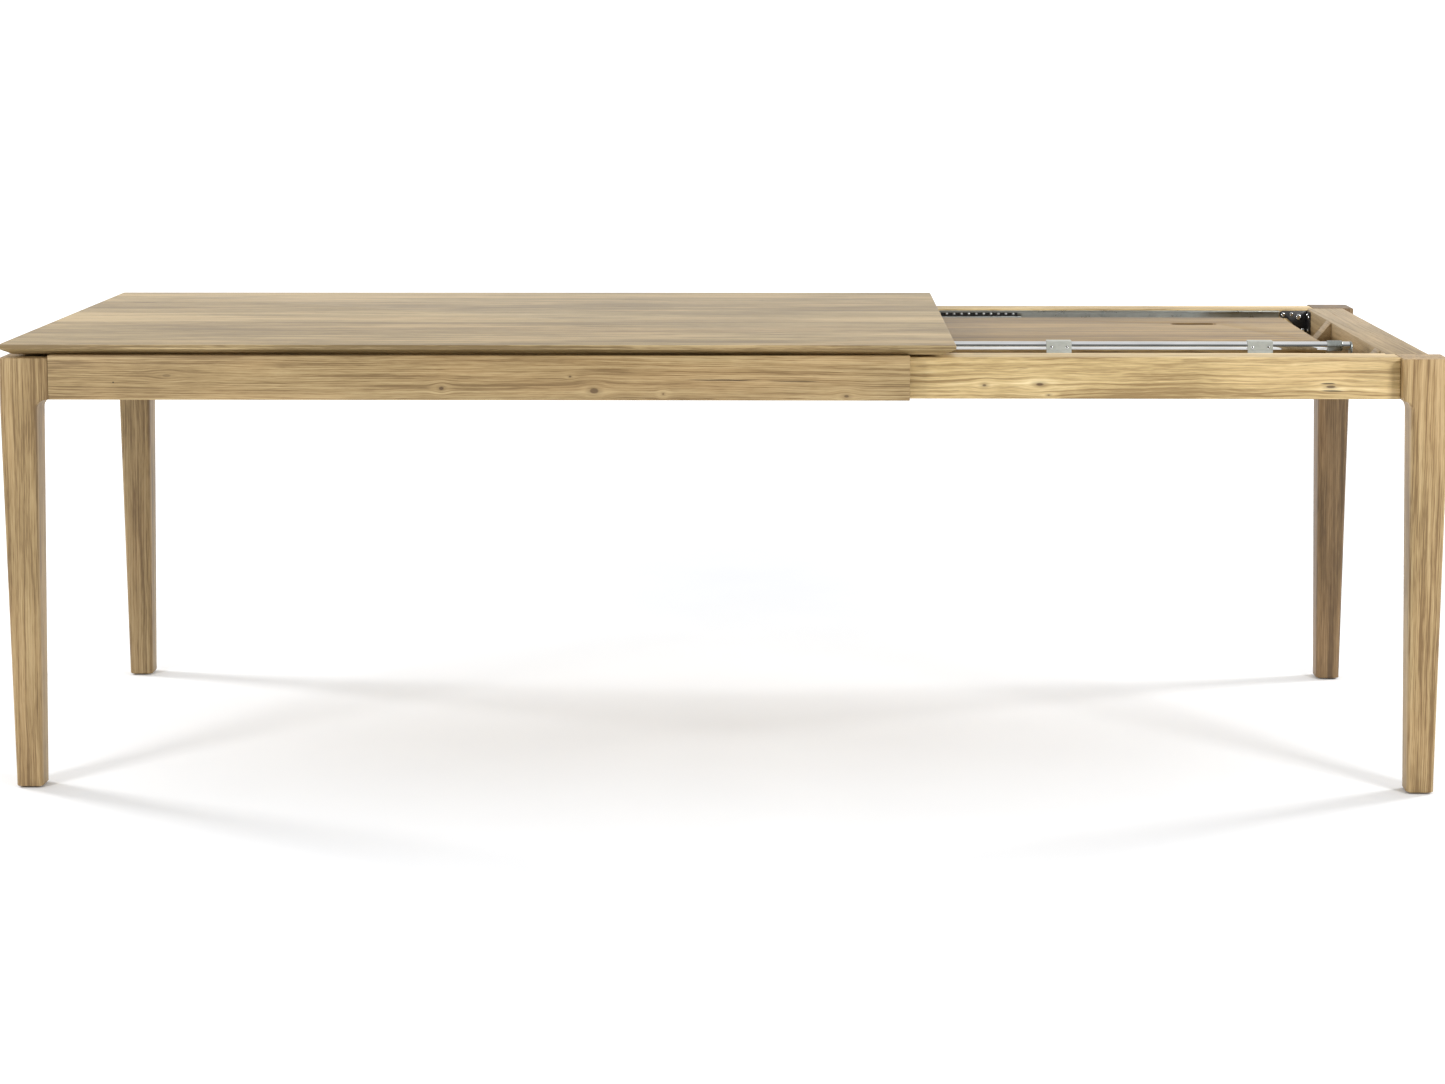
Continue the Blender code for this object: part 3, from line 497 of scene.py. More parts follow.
def make_finishes():
    """Every finish of the table, by a maker's name."""
    top_tones = ((0.210, 0.144, 0.062), (0.375, 0.275, 0.131), (0.510, 0.393, 0.208))
    frame_tones = ((0.210, 0.142, 0.066), (0.355, 0.255, 0.132), (0.475, 0.362, 0.205))
    leaf_tones = ((0.165, 0.101, 0.034), (0.305, 0.196, 0.073), (0.420, 0.290, 0.118))
    rail_tones = ((0.300, 0.196, 0.078), (0.610, 0.450, 0.212), (0.840, 0.690, 0.400))
    leg_tones = ((0.190, 0.116, 0.046), (0.345, 0.236, 0.106), (0.460, 0.335, 0.168))
    # painted light: the near right leg's oak is a lighter copy of the leg oak, for the stronger lamp light
    # on that side
    painted_light_leg_tones = ((0.215, 0.132, 0.052), (0.395, 0.272, 0.124), (0.520, 0.382, 0.196))
    # painted shade: the far left leg's oak is a darker copy of the leg oak, for the lamp light that the far
    # legs lose
    painted_shade_far_leg_tones = ((0.145, 0.088, 0.035), (0.265, 0.180, 0.080), (0.355, 0.256, 0.128))
    # painted shade: the far right leg's oak is a darker copy still, for the deeper shade that falls on it
    painted_deep_shade_leg_tones = ((0.104, 0.061, 0.025), (0.194, 0.120, 0.052), (0.276, 0.182, 0.088))
    front = low("apron_near").y
    rail_front = low("rail_near").y
    apron_x = low("apron_near").x
    rail_x = high("apron_near").x
    knots_apron = (
        ((apron_x + 1.335, front, 0.6745), 0.009, 0.005, 0.70),
        ((apron_x + 0.660, front, 0.6870), 0.006, 0.0042, 0.80),
        ((apron_x + 0.915, front, 0.6835), 0.010, 0.0065, 0.72),
        ((apron_x + 0.200, front, 0.7080), 0.012, 0.004, 0.40),
        ((apron_x + 1.030, front, 0.6780), 0.004, 0.0030, 0.85),
        ((apron_x + 0.875, front, 0.7070), 0.004, 0.0025, 0.75),
    )
    cracks_apron = (
        ((apron_x + 1.130, front, 0.7020), 0.150, 0.0022, 0.015),
        ((apron_x + 1.250, front, 0.6990), 0.110, 0.0016, -0.030),
        ((apron_x + 0.110, front, 0.6950), 0.004, 0.0030, 0.0),
    )
    knots_rail = (
        ((rail_x + 0.125, rail_front, 0.6900), 0.008, 0.0045, 0.75),
        ((rail_x + 0.217, rail_front, 0.6915), 0.013, 0.0050, 0.85),
        ((rail_x + 0.700, rail_front, 0.6880), 0.011, 0.0030, 0.80),
        ((rail_x + 0.232, rail_front, 0.6735), 0.006, 0.0025, 0.80),
    )
    cracks_rail = (
        ((rail_x + 0.695, rail_front, 0.6920), 0.030, 0.0026, 0.0),
        ((rail_x + 0.703, rail_front, 0.6800), 0.046, 0.0024, -0.02),
    )
    cracks_top = (
        ((low("tabletop").x + 0.090, 0.250, TOP_Z), 0.060, 0.0045, 0.02),
        ((low("tabletop").x + 0.330, 0.385, TOP_Z), 0.090, 0.0020, 0.01),
    )
    knots_top = (
        ((low("tabletop").x + 1.085, 0.245, TOP_Z), 0.010, 0.006, 0.50),
        ((low("tabletop").x + 1.270, 0.300, TOP_Z), 0.007, 0.005, 0.55),
    )
    return {
        "top": oak("oak_tabletop", stave=0.118, seed=3.0, tones=top_tones, knots=knots_top,
                   cracks=cracks_top, lines=1.9, clouds=1.7, roughness=0.43),
        "apron": oak("oak_apron", on_edge=True, heart=(0.58, -0.36), seed=5.0, knots=knots_apron,
                     cracks=cracks_apron, waver=0.007, lines=1.35, clouds=1.2),
        "rail": oak("oak_rail", on_edge=True, heart=(0.735, -0.28), seed=9.0, knots=knots_rail,
                    cracks=cracks_rail, waver=0.022, clouds=1.25, tones=rail_tones),
        # the four legs share one oak in lit and shaded copies: painted light on the near right leg, painted
        # shade on both far legs
        "leg_left_near": oak("oak_leg_left_near", "Z", heart=(-1.02, -0.30), seed=11.0, tones=leg_tones,
                             lines=1.5, clouds=1.4),
        "leg_left_far": oak("oak_leg_left_far", "Z", heart=(-1.08, 0.52), seed=14.0, tones=painted_shade_far_leg_tones,
                            lines=1.5, clouds=1.4),
        "leg_right_near": oak("oak_leg_right_near", "Z", heart=(1.31, -0.36), seed=17.0,
                              tones=painted_light_leg_tones, lines=1.5, clouds=1.4),
        "leg_right_far": oak("oak_leg_right_far", "Z", heart=(1.05, 0.50), seed=21.0, tones=painted_deep_shade_leg_tones,
                             lines=1.5, clouds=1.4),
        "end": oak("oak_end_rail", "Y", heart=(1.10, 0.60), seed=25.0, tones=frame_tones),
        "left_end": oak("oak_left_end_apron", "Y", True, heart=(0.60, -1.05), seed=29.0),
        "gusset": oak("oak_gusset", "Y", heart=(1.05, 0.62), seed=33.0, tones=frame_tones),
        "leaf": oak("oak_leaf", stave=0.150, seed=37.0, tones=leaf_tones, lines=1.8, clouds=1.6),
        "timber": oak("inner_timber", "Y", heart=(0.0, 0.5), seed=41.0, tones=frame_tones, roughness=0.6),
        "bearer": oak("bearer_timber", "X", True, heart=(0.6, 0.2), seed=45.0, tones=frame_tones,
                      roughness=0.6),
        "zinc": zinc_steel("zinc_steel"),
        "zinc_cross": zinc_steel("zinc_steel_fittings", (120, 120, 120)),
        "ball": chrome("ball_steel", 0.88, 0.96, 0.38),
        "chrome": chrome("chrome_tube"),
        "black": powder_black("black_powder_coat"),
        "cage": moulded_plastic("black_cage_plastic", (0.012, 0.012, 0.013), (0.030, 0.030, 0.032), 0.42),
        "clip": moulded_plastic("clip_plastic", (0.455, 0.465, 0.420), (0.390, 0.400, 0.360), 0.42, 0.15),
        "glide": moulded_plastic("glide_plastic", (0.760, 0.755, 0.730), (0.640, 0.625, 0.590), 0.50),
    }


# ================================================================ woodwork
def make_board(name, lowest, highest, material, slot, body, *nodes, ease=0.0014):
    """A planed board with eased edges."""
    bm = bmesh.new()
    add_box(bm, lowest, highest)
    return finish(soften(mesh_object(name, bm), ease), material, slot, body, *nodes)


def board_for(node, material, slot, body, ease=0.0014):
    """A planed board in the place of a plain rectangular node."""
    return make_board(node + "_oak", low(node), high(node), material, slot, body, node, ease=ease)


def make_tabletop(finishes):
    """The top: a rounded upper arris, a short upright edge and a wide bevel below."""
    lowest, highest = low("tabletop"), high("tabletop")
    edge, bevel, arris, under = 0.007, 0.020, 0.0021, 0.0010
    levels = [(highest.z - arris + arris * math.sin(t), arris - arris * math.cos(t))
              for t in (math.pi / 2 * (1 - i / 5) for i in range(6))]
    levels += [(highest.z - edge + 0.0006, 0.0), (highest.z - edge - 0.0003, 0.0004)]
    levels += [(lowest.z + under, bevel - under * 1.6), (lowest.z + under * 0.3, bevel - under * 0.3)]
    levels += [(lowest.z, bevel + under * 0.5)]
    rings = []
    for z, inset in levels:
        u = (lowest.x + inset, highest.x - inset)
        v = (lowest.y + inset, highest.y - inset)
        rings.append([(x, y, z) for x, y in rounded_section(u, v, [0.0022] * 4, 4)])
    bm = bmesh.new()
    add_loft(bm, rings)
    top = mesh_object("tabletop_board", bm)
    finish(top, finishes["top"], "oak_top", "base", "tabletop")


LEG_SHAFT = 0.0625
LEG_FOOT = 0.045
LEG_TAPER = 0.010
KNEE_HEIGHT = 0.018
KNEE_STEPS = 12
CORNER_STEPS = 6
OUTER_RADIUS = 0.009
SHAFT_RADIUS = 0.008
JOINT_RADIUS = 0.0012


def make_leg(node, finish_material, body):
    """A leg: square at the frame, a hollow knee under it, and a long taper to the foot."""
    lowest, highest = low(node), high(node)
    turn = (1 if lowest.x < 0 else -1, 1 if lowest.y < 0 else -1)
    corner = (lowest.x if turn[0] > 0 else highest.x, lowest.y if turn[1] > 0 else highest.y)
    top_width, top_depth = highest.x - lowest.x, highest.y - lowest.y
    knee_bottom = FRAME_BOTTOM - KNEE_HEIGHT

    def ring(z, width, depth, inset, radii):
        section = rounded_section((inset, inset + width), (inset, inset + depth), radii, CORNER_STEPS)
        return [(corner[0] + turn[0] * u, corner[1] + turn[1] * v, z) for u, v in section]

    joint = (OUTER_RADIUS, JOINT_RADIUS, JOINT_RADIUS, JOINT_RADIUS)
    chamfer = 0.0015
    rings = []
    for i in range(4):
        t = math.pi / 2 * (1 - i / 3)
        inset = chamfer * (1 - math.cos(t))
        z = highest.z - chamfer + chamfer * math.sin(t)
        radii = [r - inset * 0.5 for r in joint]
        rings.append(ring(z, top_width - 2 * inset, top_depth - 2 * inset, inset, radii))
    for step in range(KNEE_STEPS, -1, -1):
        t = math.pi / 2 * step / KNEE_STEPS
        curve = math.cos(t)
        width = top_width - (top_width - LEG_SHAFT) * curve
        depth = top_depth - (top_depth - LEG_SHAFT) * curve
        inner = JOINT_RADIUS + (SHAFT_RADIUS - JOINT_RADIUS) * curve
        z = knee_bottom + KNEE_HEIGHT * math.sin(t)
        rings.append(ring(z, width, depth, 0, (OUTER_RADIUS, inner, inner, inner)))
    shaft = (SHAFT_RADIUS,) * 4
    for i in range(1, 9):
        share = i / 8
        size = LEG_SHAFT + (LEG_FOOT - LEG_SHAFT) * share
        z = knee_bottom + (lowest.z + chamfer - knee_bottom) * share
        rings.append(ring(z, size, size, LEG_TAPER * share, shaft))
    for i in range(1, 4):
        t = math.pi / 2 * i / 3
        inset = chamfer * (1 - math.cos(t))
        z = lowest.z + chamfer - chamfer * math.sin(t)
        side = LEG_FOOT - 2 * inset
        rings.append(ring(z, side, side, LEG_TAPER + inset, shaft))
    bm = bmesh.new()
    add_loft(bm, rings)
    finish(mesh_object(node + "_oak", bm), finish_material, "oak_legs", body, node)


def make_rail(name, side, finishes):
    """A moving side rail, notched where the end rail passes inside it."""
    node = "rail_" + name
    lowest, highest = low(node), high(node)
    inner, outer = min(abs(lowest.y), abs(highest.y)), max(abs(lowest.y), abs(highest.y))
    rail_end = low("end_rail").x - CLEARANCE
    shoulder = high("end_rail").y + 2 * CLEARANCE
    outline = [
        (lowest.x, side * inner),
        (rail_end, side * inner),
        (rail_end, side * shoulder),
        (highest.x, side * shoulder),
        (highest.x, side * outer),
        (lowest.x, side * outer),
    ]
    bm = bmesh.new()
    add_prism(bm, outline, "Z", (lowest.z, highest.z))
    rail = soften(mesh_object(node + "_oak", bm), 0.0020)
    finish(rail, finishes["rail"], "oak_frame", "extension", node)


def make_gusset(name, finishes):
    """A triangular block glued behind the end rail's top."""
    node = "end_gusset_" + name
    lowest, highest = low(node), high(node)
    outline = [(highest.x, highest.z), (highest.x, lowest.z), (lowest.x, lowest.z)]
    bm = bmesh.new()
    add_prism(bm, outline, "Y", (lowest.y, highest.y))
    gusset = soften(mesh_object(node + "_oak", bm), 0.0008, 2)
    finish(gusset, finishes["gusset"], "oak_frame", "extension", node)


def make_woodwork(finishes):
    """Top, legs, aprons, rails and the inner timbers."""
    make_tabletop(finishes)
    for name, side in SIDES:
        make_leg("leg_left_" + name, finishes["leg_left_" + name], "base")
        make_leg("leg_right_" + name, finishes["leg_right_" + name], "extension")
        board_for("apron_" + name, finishes["apron"], "oak_frame", "base", 0.0009)
        board_for("slide_bearer_" + name, finishes["bearer"], "inner_timber", "base")
        make_rail(name, side, finishes)
        make_gusset(name, finishes)
    board_for("apron_left_end", finishes["left_end"], "oak_frame", "base")
    board_for("end_rail", finishes["end"], "oak_frame", "extension", 0.0016)
    for node in ("top_batten_left", "top_batten_right"):
        board_for(node, finishes["timber"], "inner_timber", "base")
    for node in ("cross_rail", "tube_bracket_bar", "leaf_carrier_left", "leaf_carrier_right"):
        board_for(node, finishes["timber"], "inner_timber", "extension")
    for name, side in SIDES:
        block = bpy.data.objects["corner_block_" + name]
        block.data.materials.clear()
        block.data.materials.append(finishes["timber"])


# ================================================================ repeated small pieces
def named_input(tree, name, kind):
    """Add a named input to a Geometry Nodes tree."""
    return tree.interface.new_socket(name=name, in_out="INPUT", socket_type=kind)


def row_of_balls_tree(material):
    """Two straight rows of steel balls, one over and one under the slide's middle."""
    tree = bpy.data.node_groups.new("slide_ball_rows", "GeometryNodeTree")
    tree.interface.new_socket(name="Geometry", in_out="OUTPUT", socket_type="NodeSocketGeometry")
    inputs = {
        "Start": named_input(tree, "Start", "NodeSocketVector"),
        "Count": named_input(tree, "Count", "NodeSocketInt"),
        "Pitch": named_input(tree, "Pitch", "NodeSocketFloat"),
        "Radius": named_input(tree, "Radius", "NodeSocketFloat"),
        "Row height": named_input(tree, "Row height", "NodeSocketFloat"),
    }
    nodes, links = tree.nodes, tree.links
    given = nodes.new("NodeGroupInput")
    out = nodes.new("NodeGroupOutput")
    step = nodes.new("ShaderNodeCombineXYZ")
    links.new(given.outputs["Pitch"], step.inputs["X"])
    ball = nodes.new("GeometryNodeMeshUVSphere")
    ball.inputs["Segments"].default_value = 14
    ball.inputs["Rings"].default_value = 8
    links.new(given.outputs["Radius"], ball.inputs["Radius"])
    smooth = nodes.new("GeometryNodeSetShadeSmooth")
    links.new(ball.outputs["Mesh"], smooth.inputs["Geometry"])
    join = nodes.new("GeometryNodeJoinGeometry")
    for way in (1.0, -1.0):
        lift = nodes.new("ShaderNodeMath")
        lift.operation = "MULTIPLY"
        lift.inputs[1].default_value = way
        links.new(given.outputs["Row height"], lift.inputs[0])
        rise = nodes.new("ShaderNodeCombineXYZ")
        links.new(lift.outputs[0], rise.inputs["Z"])
        start = nodes.new("ShaderNodeVectorMath")
        links.new(given.outputs["Start"], start.inputs[0])
        links.new(rise.outputs[0], start.inputs[1])
        line = nodes.new("GeometryNodeMeshLine")
        links.new(given.outputs["Count"], line.inputs["Count"])
        links.new(start.outputs[0], line.inputs["Start Location"])
        links.new(step.outputs[0], line.inputs["Offset"])
        place = nodes.new("GeometryNodeInstanceOnPoints")
        links.new(line.outputs["Mesh"], place.inputs["Points"])
        links.new(smooth.outputs["Geometry"], place.inputs["Instance"])
        links.new(place.outputs["Instances"], join.inputs["Geometry"])
    real = nodes.new("GeometryNodeRealizeInstances")
    links.new(join.outputs["Geometry"], real.inputs["Geometry"])
    coat = nodes.new("GeometryNodeSetMaterial")
    coat.inputs["Material"].default_value = material
    links.new(real.outputs["Geometry"], coat.inputs["Geometry"])
    links.new(coat.outputs["Geometry"], out.inputs[0])
    return tree, {name: socket.identifier for name, socket in inputs.items()}


def screw_head_tree(material):
    """Screw heads on points; each point gives its outward direction and its size."""
    tree = bpy.data.node_groups.new("screw_heads", "GeometryNodeTree")
    tree.interface.new_socket(name="Geometry", in_out="INPUT", socket_type="NodeSocketGeometry")
    tree.interface.new_socket(name="Geometry", in_out="OUTPUT", socket_type="NodeSocketGeometry")
    head_input = named_input(tree, "Head", "NodeSocketObject")
    nodes, links = tree.nodes, tree.links
    given = nodes.new("NodeGroupInput")
    out = nodes.new("NodeGroupOutput")
    head = nodes.new("GeometryNodeObjectInfo")
    links.new(given.outputs["Head"], head.inputs["Object"])
    facing = nodes.new("GeometryNodeInputNamedAttribute")
    facing.data_type = "FLOAT_VECTOR"
    facing.inputs["Name"].default_value = "facing"
    size = nodes.new("GeometryNodeInputNamedAttribute")
    size.data_type = "FLOAT"
    size.inputs["Name"].default_value = "size"
    aim = nodes.new("FunctionNodeAlignRotationToVector")
    aim.axis = "Z"
    links.new(facing.outputs["Attribute"], aim.inputs["Vector"])
    place = nodes.new("GeometryNodeInstanceOnPoints")
    links.new(given.outputs["Geometry"], place.inputs["Points"])
    links.new(head.outputs["Geometry"], place.inputs["Instance"])
    links.new(aim.outputs[0], place.inputs["Rotation"])
    links.new(size.outputs["Attribute"], place.inputs["Scale"])
    real = nodes.new("GeometryNodeRealizeInstances")
    links.new(place.outputs["Instances"], real.inputs["Geometry"])
    coat = nodes.new("GeometryNodeSetMaterial")
    coat.inputs["Material"].default_value = material
    links.new(real.outputs["Geometry"], coat.inputs["Geometry"])
    links.new(coat.outputs["Geometry"], out.inputs[0])
    return tree, head_input.identifier


def screw_head_pattern():
    """A pan head of unit radius with a cross recess, seated on the XY plane."""
    bm = bmesh.new()
    crown = 0.55
    profile = [(0.0, 0.97), (0.06, 1.0), (0.20, 0.985)]
    profile += [(0.20 + (crown - 0.20) * math.sin(t), 0.985 * math.cos(t) + 0.0)
                for t in (math.radians(a) for a in (18, 36, 52, 66, 76))]
    add_turned(bm, profile, (0, 0, 0), (0, 0, 1), 20)
    head = mesh_object("screw_head_pattern", bm)
    for turn in (0, 90):
        bar = bmesh.new()
        add_box(bar, (-0.52, -0.10, 0.30), (0.52, 0.10, 1.0))
        turned = Matrix.Rotation(math.radians(turn), 3, "Z")
        bmesh.ops.rotate(bar, verts=bar.verts, cent=(0, 0, 0), matrix=turned)
        tool = mesh_object("recess_bar", bar, False)
        cut = head.modifiers.new("recess", "BOOLEAN")
        cut.operation = "DIFFERENCE"
        cut.object = tool
        settle(head)
        bpy.data.objects.remove(tool)
    return head


def make_screws(name, seats, tree, head_id, pattern, finish_material, slot, body, *nodes):
    """One object of screw heads from (seat, outward direction, head radius) rows."""
    mesh = bpy.data.meshes.new(name)
    mesh.from_pydata([seat for seat, _, _ in seats], [], [])
    mesh.attributes.new("facing", "FLOAT_VECTOR", "POINT")
    mesh.attributes.new("size", "FLOAT", "POINT")
    facing = mesh.attributes["facing"]
    size = mesh.attributes["size"]
    for i, (_, out, radius) in enumerate(seats):
        facing.data[i].vector = out
        size.data[i].value = radius
    screws = bpy.data.objects.new(name, mesh)
    bpy.context.scene.collection.objects.link(screws)
    heads = screws.modifiers.new("heads", "NODES")
    heads.node_group = tree
    heads[head_id] = pattern
    return finish(settle(screws), finish_material, slot, body, *nodes)


# ================================================================ ball slides
SHEET = 0.0015
LIP = 0.0016


def channel_outline(side, back, front, half, centre_z, lips):
    """A rolled C section in Y and Z, with hooked lips where the balls need a race."""
    rail_face = low("rail_far").y
    step = SHEET if front > back else -SHEET
    hook = step * 0.75
    upper = []
    if lips:
        upper = [
            (back + step, half - SHEET),
            (front - hook, half - SHEET),
            (front - hook, half - SHEET - LIP),
            (front, half - SHEET - LIP),
            (front, half - 0.0006),
            (front - hook * 0.5, half),
            (back + step * 0.6, half),
            (back, half - SHEET * 0.6),
        ]
    else:
        upper = [
            (back + step, half - SHEET),
            (front, half - SHEET),
            (front, half),
            (back + step * 0.6, half),
            (back, half - SHEET * 0.6),
        ]
    lower = [(depth, -height) for depth, height in reversed(upper)]
    section = lower + upper
    return [(side * (rail_face - depth), centre_z + height) for depth, height in section]


def make_slide_member(name, node, side, depths, half, lips, finishes, body):
    """One rolled steel member, standing in the place of its node."""
    lowest, highest = low(node), high(node)
    centre_z = (lowest.z + highest.z) / 2
    bm = bmesh.new()
    add_prism(bm, channel_outline(side, *depths, half, centre_z, lips), "X", (lowest.x, highest.x))
    member = soften(mesh_object(name, bm), 0.0003, 2)
    finish(member, finishes["zinc"], "zinc_steel", body, node)


def make_cage(name, side, depth, half, pitch, count, race, finishes, body, balls_tree):
    """A cage plate with a row of window-like pockets at its top and bottom, and its balls."""
    node = "ball_cage_" + name
    lowest, highest = low(node), high(node)
    centre_z = (lowest.z + highest.z) / 2
    rail_face = low("rail_far").y
    start = lowest.x + 0.008
    y = across(side, rail_face - depth[1], rail_face - depth[0])
    radius, race_depth, race_height = race
    bm = bmesh.new()
    hub = race_height - radius * 1.25
    rim = race_height + radius * 1.25
    add_box(bm, (lowest.x, y[0], centre_z - hub), (highest.x, y[1], centre_z + hub))
    gap_half = radius * 1.2
    edges = [lowest.x]
    for i in range(count):
        edges += [start + i * pitch - gap_half, start + i * pitch + gap_half]
    edges.append(highest.x)
    for way in (-1, 1):
        band = sorted((centre_z + way * hub, centre_z + way * rim))
        for left, right in zip(edges[::2], edges[1::2]):
            add_box(bm, (left, y[0], band[0]), (right, y[1], band[1]))
        rim_band = sorted((centre_z + way * rim, centre_z + way * half))
        add_box(bm, (lowest.x, y[0], rim_band[0]), (highest.x, y[1], rim_band[1]))
    bmesh.ops.remove_doubles(bm, verts=bm.verts, dist=0.00001)
    cage = mesh_object(name + "_cage", bm, False)
    finish(cage, finishes["cage"], "black_plastic", body, node)
    tree, ids = balls_tree
    balls = bpy.data.objects.new(name + "_balls", bpy.data.meshes.new(name + "_balls"))
    bpy.context.scene.collection.objects.link(balls)
    rows = balls.modifiers.new("rows", "NODES")
    rows.node_group = tree
    rows[ids["Start"]] = (start, side * (rail_face - race_depth), centre_z)
    rows[ids["Count"]] = count
    rows[ids["Pitch"]] = pitch
    rows[ids["Radius"]] = radius
    rows[ids["Row height"]] = race_height
    finish(settle(balls), finishes["ball"], "chrome", body)


def make_slides(finishes):
    """Both ball slides."""
    balls_tree = row_of_balls_tree(finishes["ball"])
    pitch = 0.0143
    for name, side in SIDES:
        make_slide_member("outer_member_" + name, "slide_moving_" + name, side, (0.0003, 0.0106), 0.021,
                          True, finishes, "extension")
        make_slide_member("middle_member_" + name, "slide_middle_" + name, side, (0.0046, 0.0096),
                          0.0105, False, finishes, "slide_middle_" + name)
        make_slide_member("fixed_member_" + name, "slide_fixed_" + name, side, (0.0127, 0.0078),
                          0.0044, False, finishes, "base")
        make_cage("outer_" + name, side, (0.0022, 0.0032), 0.0192, pitch, 16, (0.0024, 0.0050, 0.0152),
                  finishes, "cage_outer_" + name, balls_tree)
        make_cage("inner_" + name, side, (0.0064, 0.0072), 0.0086, pitch, 12, (0.0018, 0.0083, 0.0067),
                  finishes, "cage_inner_" + name, balls_tree)


# ================================================================ guide tube, brackets, clips
def make_tube(finishes):
    """The chrome tube and the sleeve pushed over its right end."""
    for node, name, material, slot, wall in (
        ("guide_tube", "guide_tube_chrome", "chrome", "chrome", 0.0015),
        ("tube_sleeve", "tube_sleeve_steel", "zinc_cross", "zinc_steel", 0.0014),
    ):
        lowest, highest = low(node), high(node)
        radius = (highest.z - lowest.z) / 2
        centre = middle(node)
        length = highest.x - lowest.x
        ease = 0.0005
        profile = [
            (-length / 2 + ease, radius - wall),
            (-length / 2, radius - wall + ease),
            (-length / 2, radius - ease),
            (-length / 2 + ease, radius),
            (length / 2 - ease, radius),
            (length / 2, radius - ease),
            (length / 2, radius - wall + ease),
            (length / 2 - ease, radius - wall),
        ]
        bm = bmesh.new()
        segments = 48
        rings = []
        for along, r in profile:
            turns = [2 * math.pi * i / segments for i in range(segments)]
            ring = [
                (centre.x + along, centre.y + r * math.cos(t), centre.z + r * math.sin(t))
                for t in turns
            ]
            rings.append([bm.verts.new(point) for point in ring])
        for a, b in zip(rings, rings[1:] + rings[:1]):
            for i in range(segments):
                j = (i + 1) % segments
                bm.faces.new((a[i], a[j], b[j], b[i]))
        finish(mesh_object(name, bm), finishes[material], slot, "extension", node)


def make_tube_bracket(place, finishes):
    """A pressed bracket: a round-topped upright, a foot and a plug in the tube end."""
    node = "tube_bracket_" + place
    lowest, highest = low(node), high(node)
    tube = middle("guide_tube")
    radius = (high("guide_tube").z - low("guide_tube").z) / 2
    way = 1 if place == "right" else -1
    plate = 0.003
    inner = lowest.x if way > 0 else highest.x
    x = sorted((inner, inner + way * plate))
    half = (highest.y - lowest.y) / 2
    crown = arc((tube.y, highest.z - half * 0.8), half * 0.8, 0, 180, 16)
    outline = crown + [(tube.y - half, highest.z - half), (tube.y - half, lowest.z)]
    outline += [(tube.y + half, lowest.z), (tube.y + half, highest.z - half)]
    bm = bmesh.new()
    add_prism(bm, outline, "X", x)
    upright = soften(mesh_object(node + "_upright", bm), 0.0005, 2)
    finish(upright, finishes["zinc_cross"], "zinc_steel", "extension", node)
    bm = bmesh.new()
    foot_x = sorted((inner + way * plate * 0.9, lowest.x if way < 0 else highest.x))
    foot_low = (foot_x[0], tube.y - half + 0.0005, lowest.z)
    foot_high = (foot_x[1], tube.y + half - 0.0005, lowest.z + 0.0025)
    add_box(bm, foot_low, foot_high)
    foot = soften(mesh_object(node + "_foot", bm), 0.0006, 2)
    finish(foot, finishes["zinc_cross"], "zinc_steel", "extension")
    bm = bmesh.new()
    plug = [(0.0, radius - 0.0019), (0.010, radius - 0.0019)]
    add_turned(bm, plug, (inner - way * 0.010, tube.y, tube.z), (way, 0, 0), 32)
    cap = [(0.0, radius * 0.62), (0.0006, radius * 0.66), (0.0018, radius * 0.55), (0.0022, radius * 0.3)]
    add_turned(bm, cap, (inner + way * plate, tube.y, tube.z), (way, 0, 0), 6)
    finish(mesh_object(node + "_plug", bm), finishes["zinc_cross"], "zinc_steel", "extension")


def make_clip(place, finishes):
    """A moulded saddle over the tube, with a groove and a lip in front and ribs behind."""
    node = "leaf_clip_" + place
    lowest, highest = low(node), high(node)
    tube = middle("guide_tube")
    radius = (high("guide_tube").z - low("guide_tube").z) / 2
    leaf_top = high("leaf_upper").z
    front = lowest.y
    wall = 0.0030
    crown_inside = tube.z + radius + CLEARANCE
    back_inside = tube.y + radius + CLEARANCE
    back = back_inside + wall
    groove = lowest.z + 0.0107
    tongue = leaf_top + CLEARANCE
    section = [
        (front + 0.0006, lowest.z),
        (front + wall, lowest.z),
        (front + wall, crown_inside - 0.003),
        (front + wall + 0.003, crown_inside),
        (back_inside - 0.001, crown_inside),
        (back_inside, crown_inside - 0.001),
        (back_inside, tongue),
        (highest.y, tongue),
        (highest.y, tongue + 0.0022),
        (back + 0.002, tongue + 0.0025),
        (back, tongue + 0.0045),
        (back, highest.z - 0.0012),
        (back - 0.0012, highest.z),
        (front + 0.0016, highest.z),
        (front, highest.z - 0.0016),
        (front, groove + 0.0005),
        (front + 0.0008, groove),
        (front, groove - 0.0005),
        (front, lowest.z + 0.0006),
    ]
    bm = bmesh.new()
    add_prism(bm, section, "X", (lowest.x, highest.x))
    clip = soften(mesh_object(node + "_moulding", bm), 0.0006, 2, 40)
    finish(clip, finishes["clip"], "clip_plastic", "leaf", node)
    bm = bmesh.new()
    for offset in (-0.012, 0.0, 0.012):
        x = middle(node).x + offset
        rib = [(back - 0.001, tongue + 0.001), (back + 0.012, tongue + 0.0005)]
        rib += [(back + 0.012, tongue + 0.0026)]
        rib += [(back - 0.001, highest.z - 0.004)]
        add_prism(bm, rib, "X", (x - 0.0009, x + 0.0009))
    finish(mesh_object(node + "_ribs", bm), finishes["clip"], "clip_plastic", "leaf")


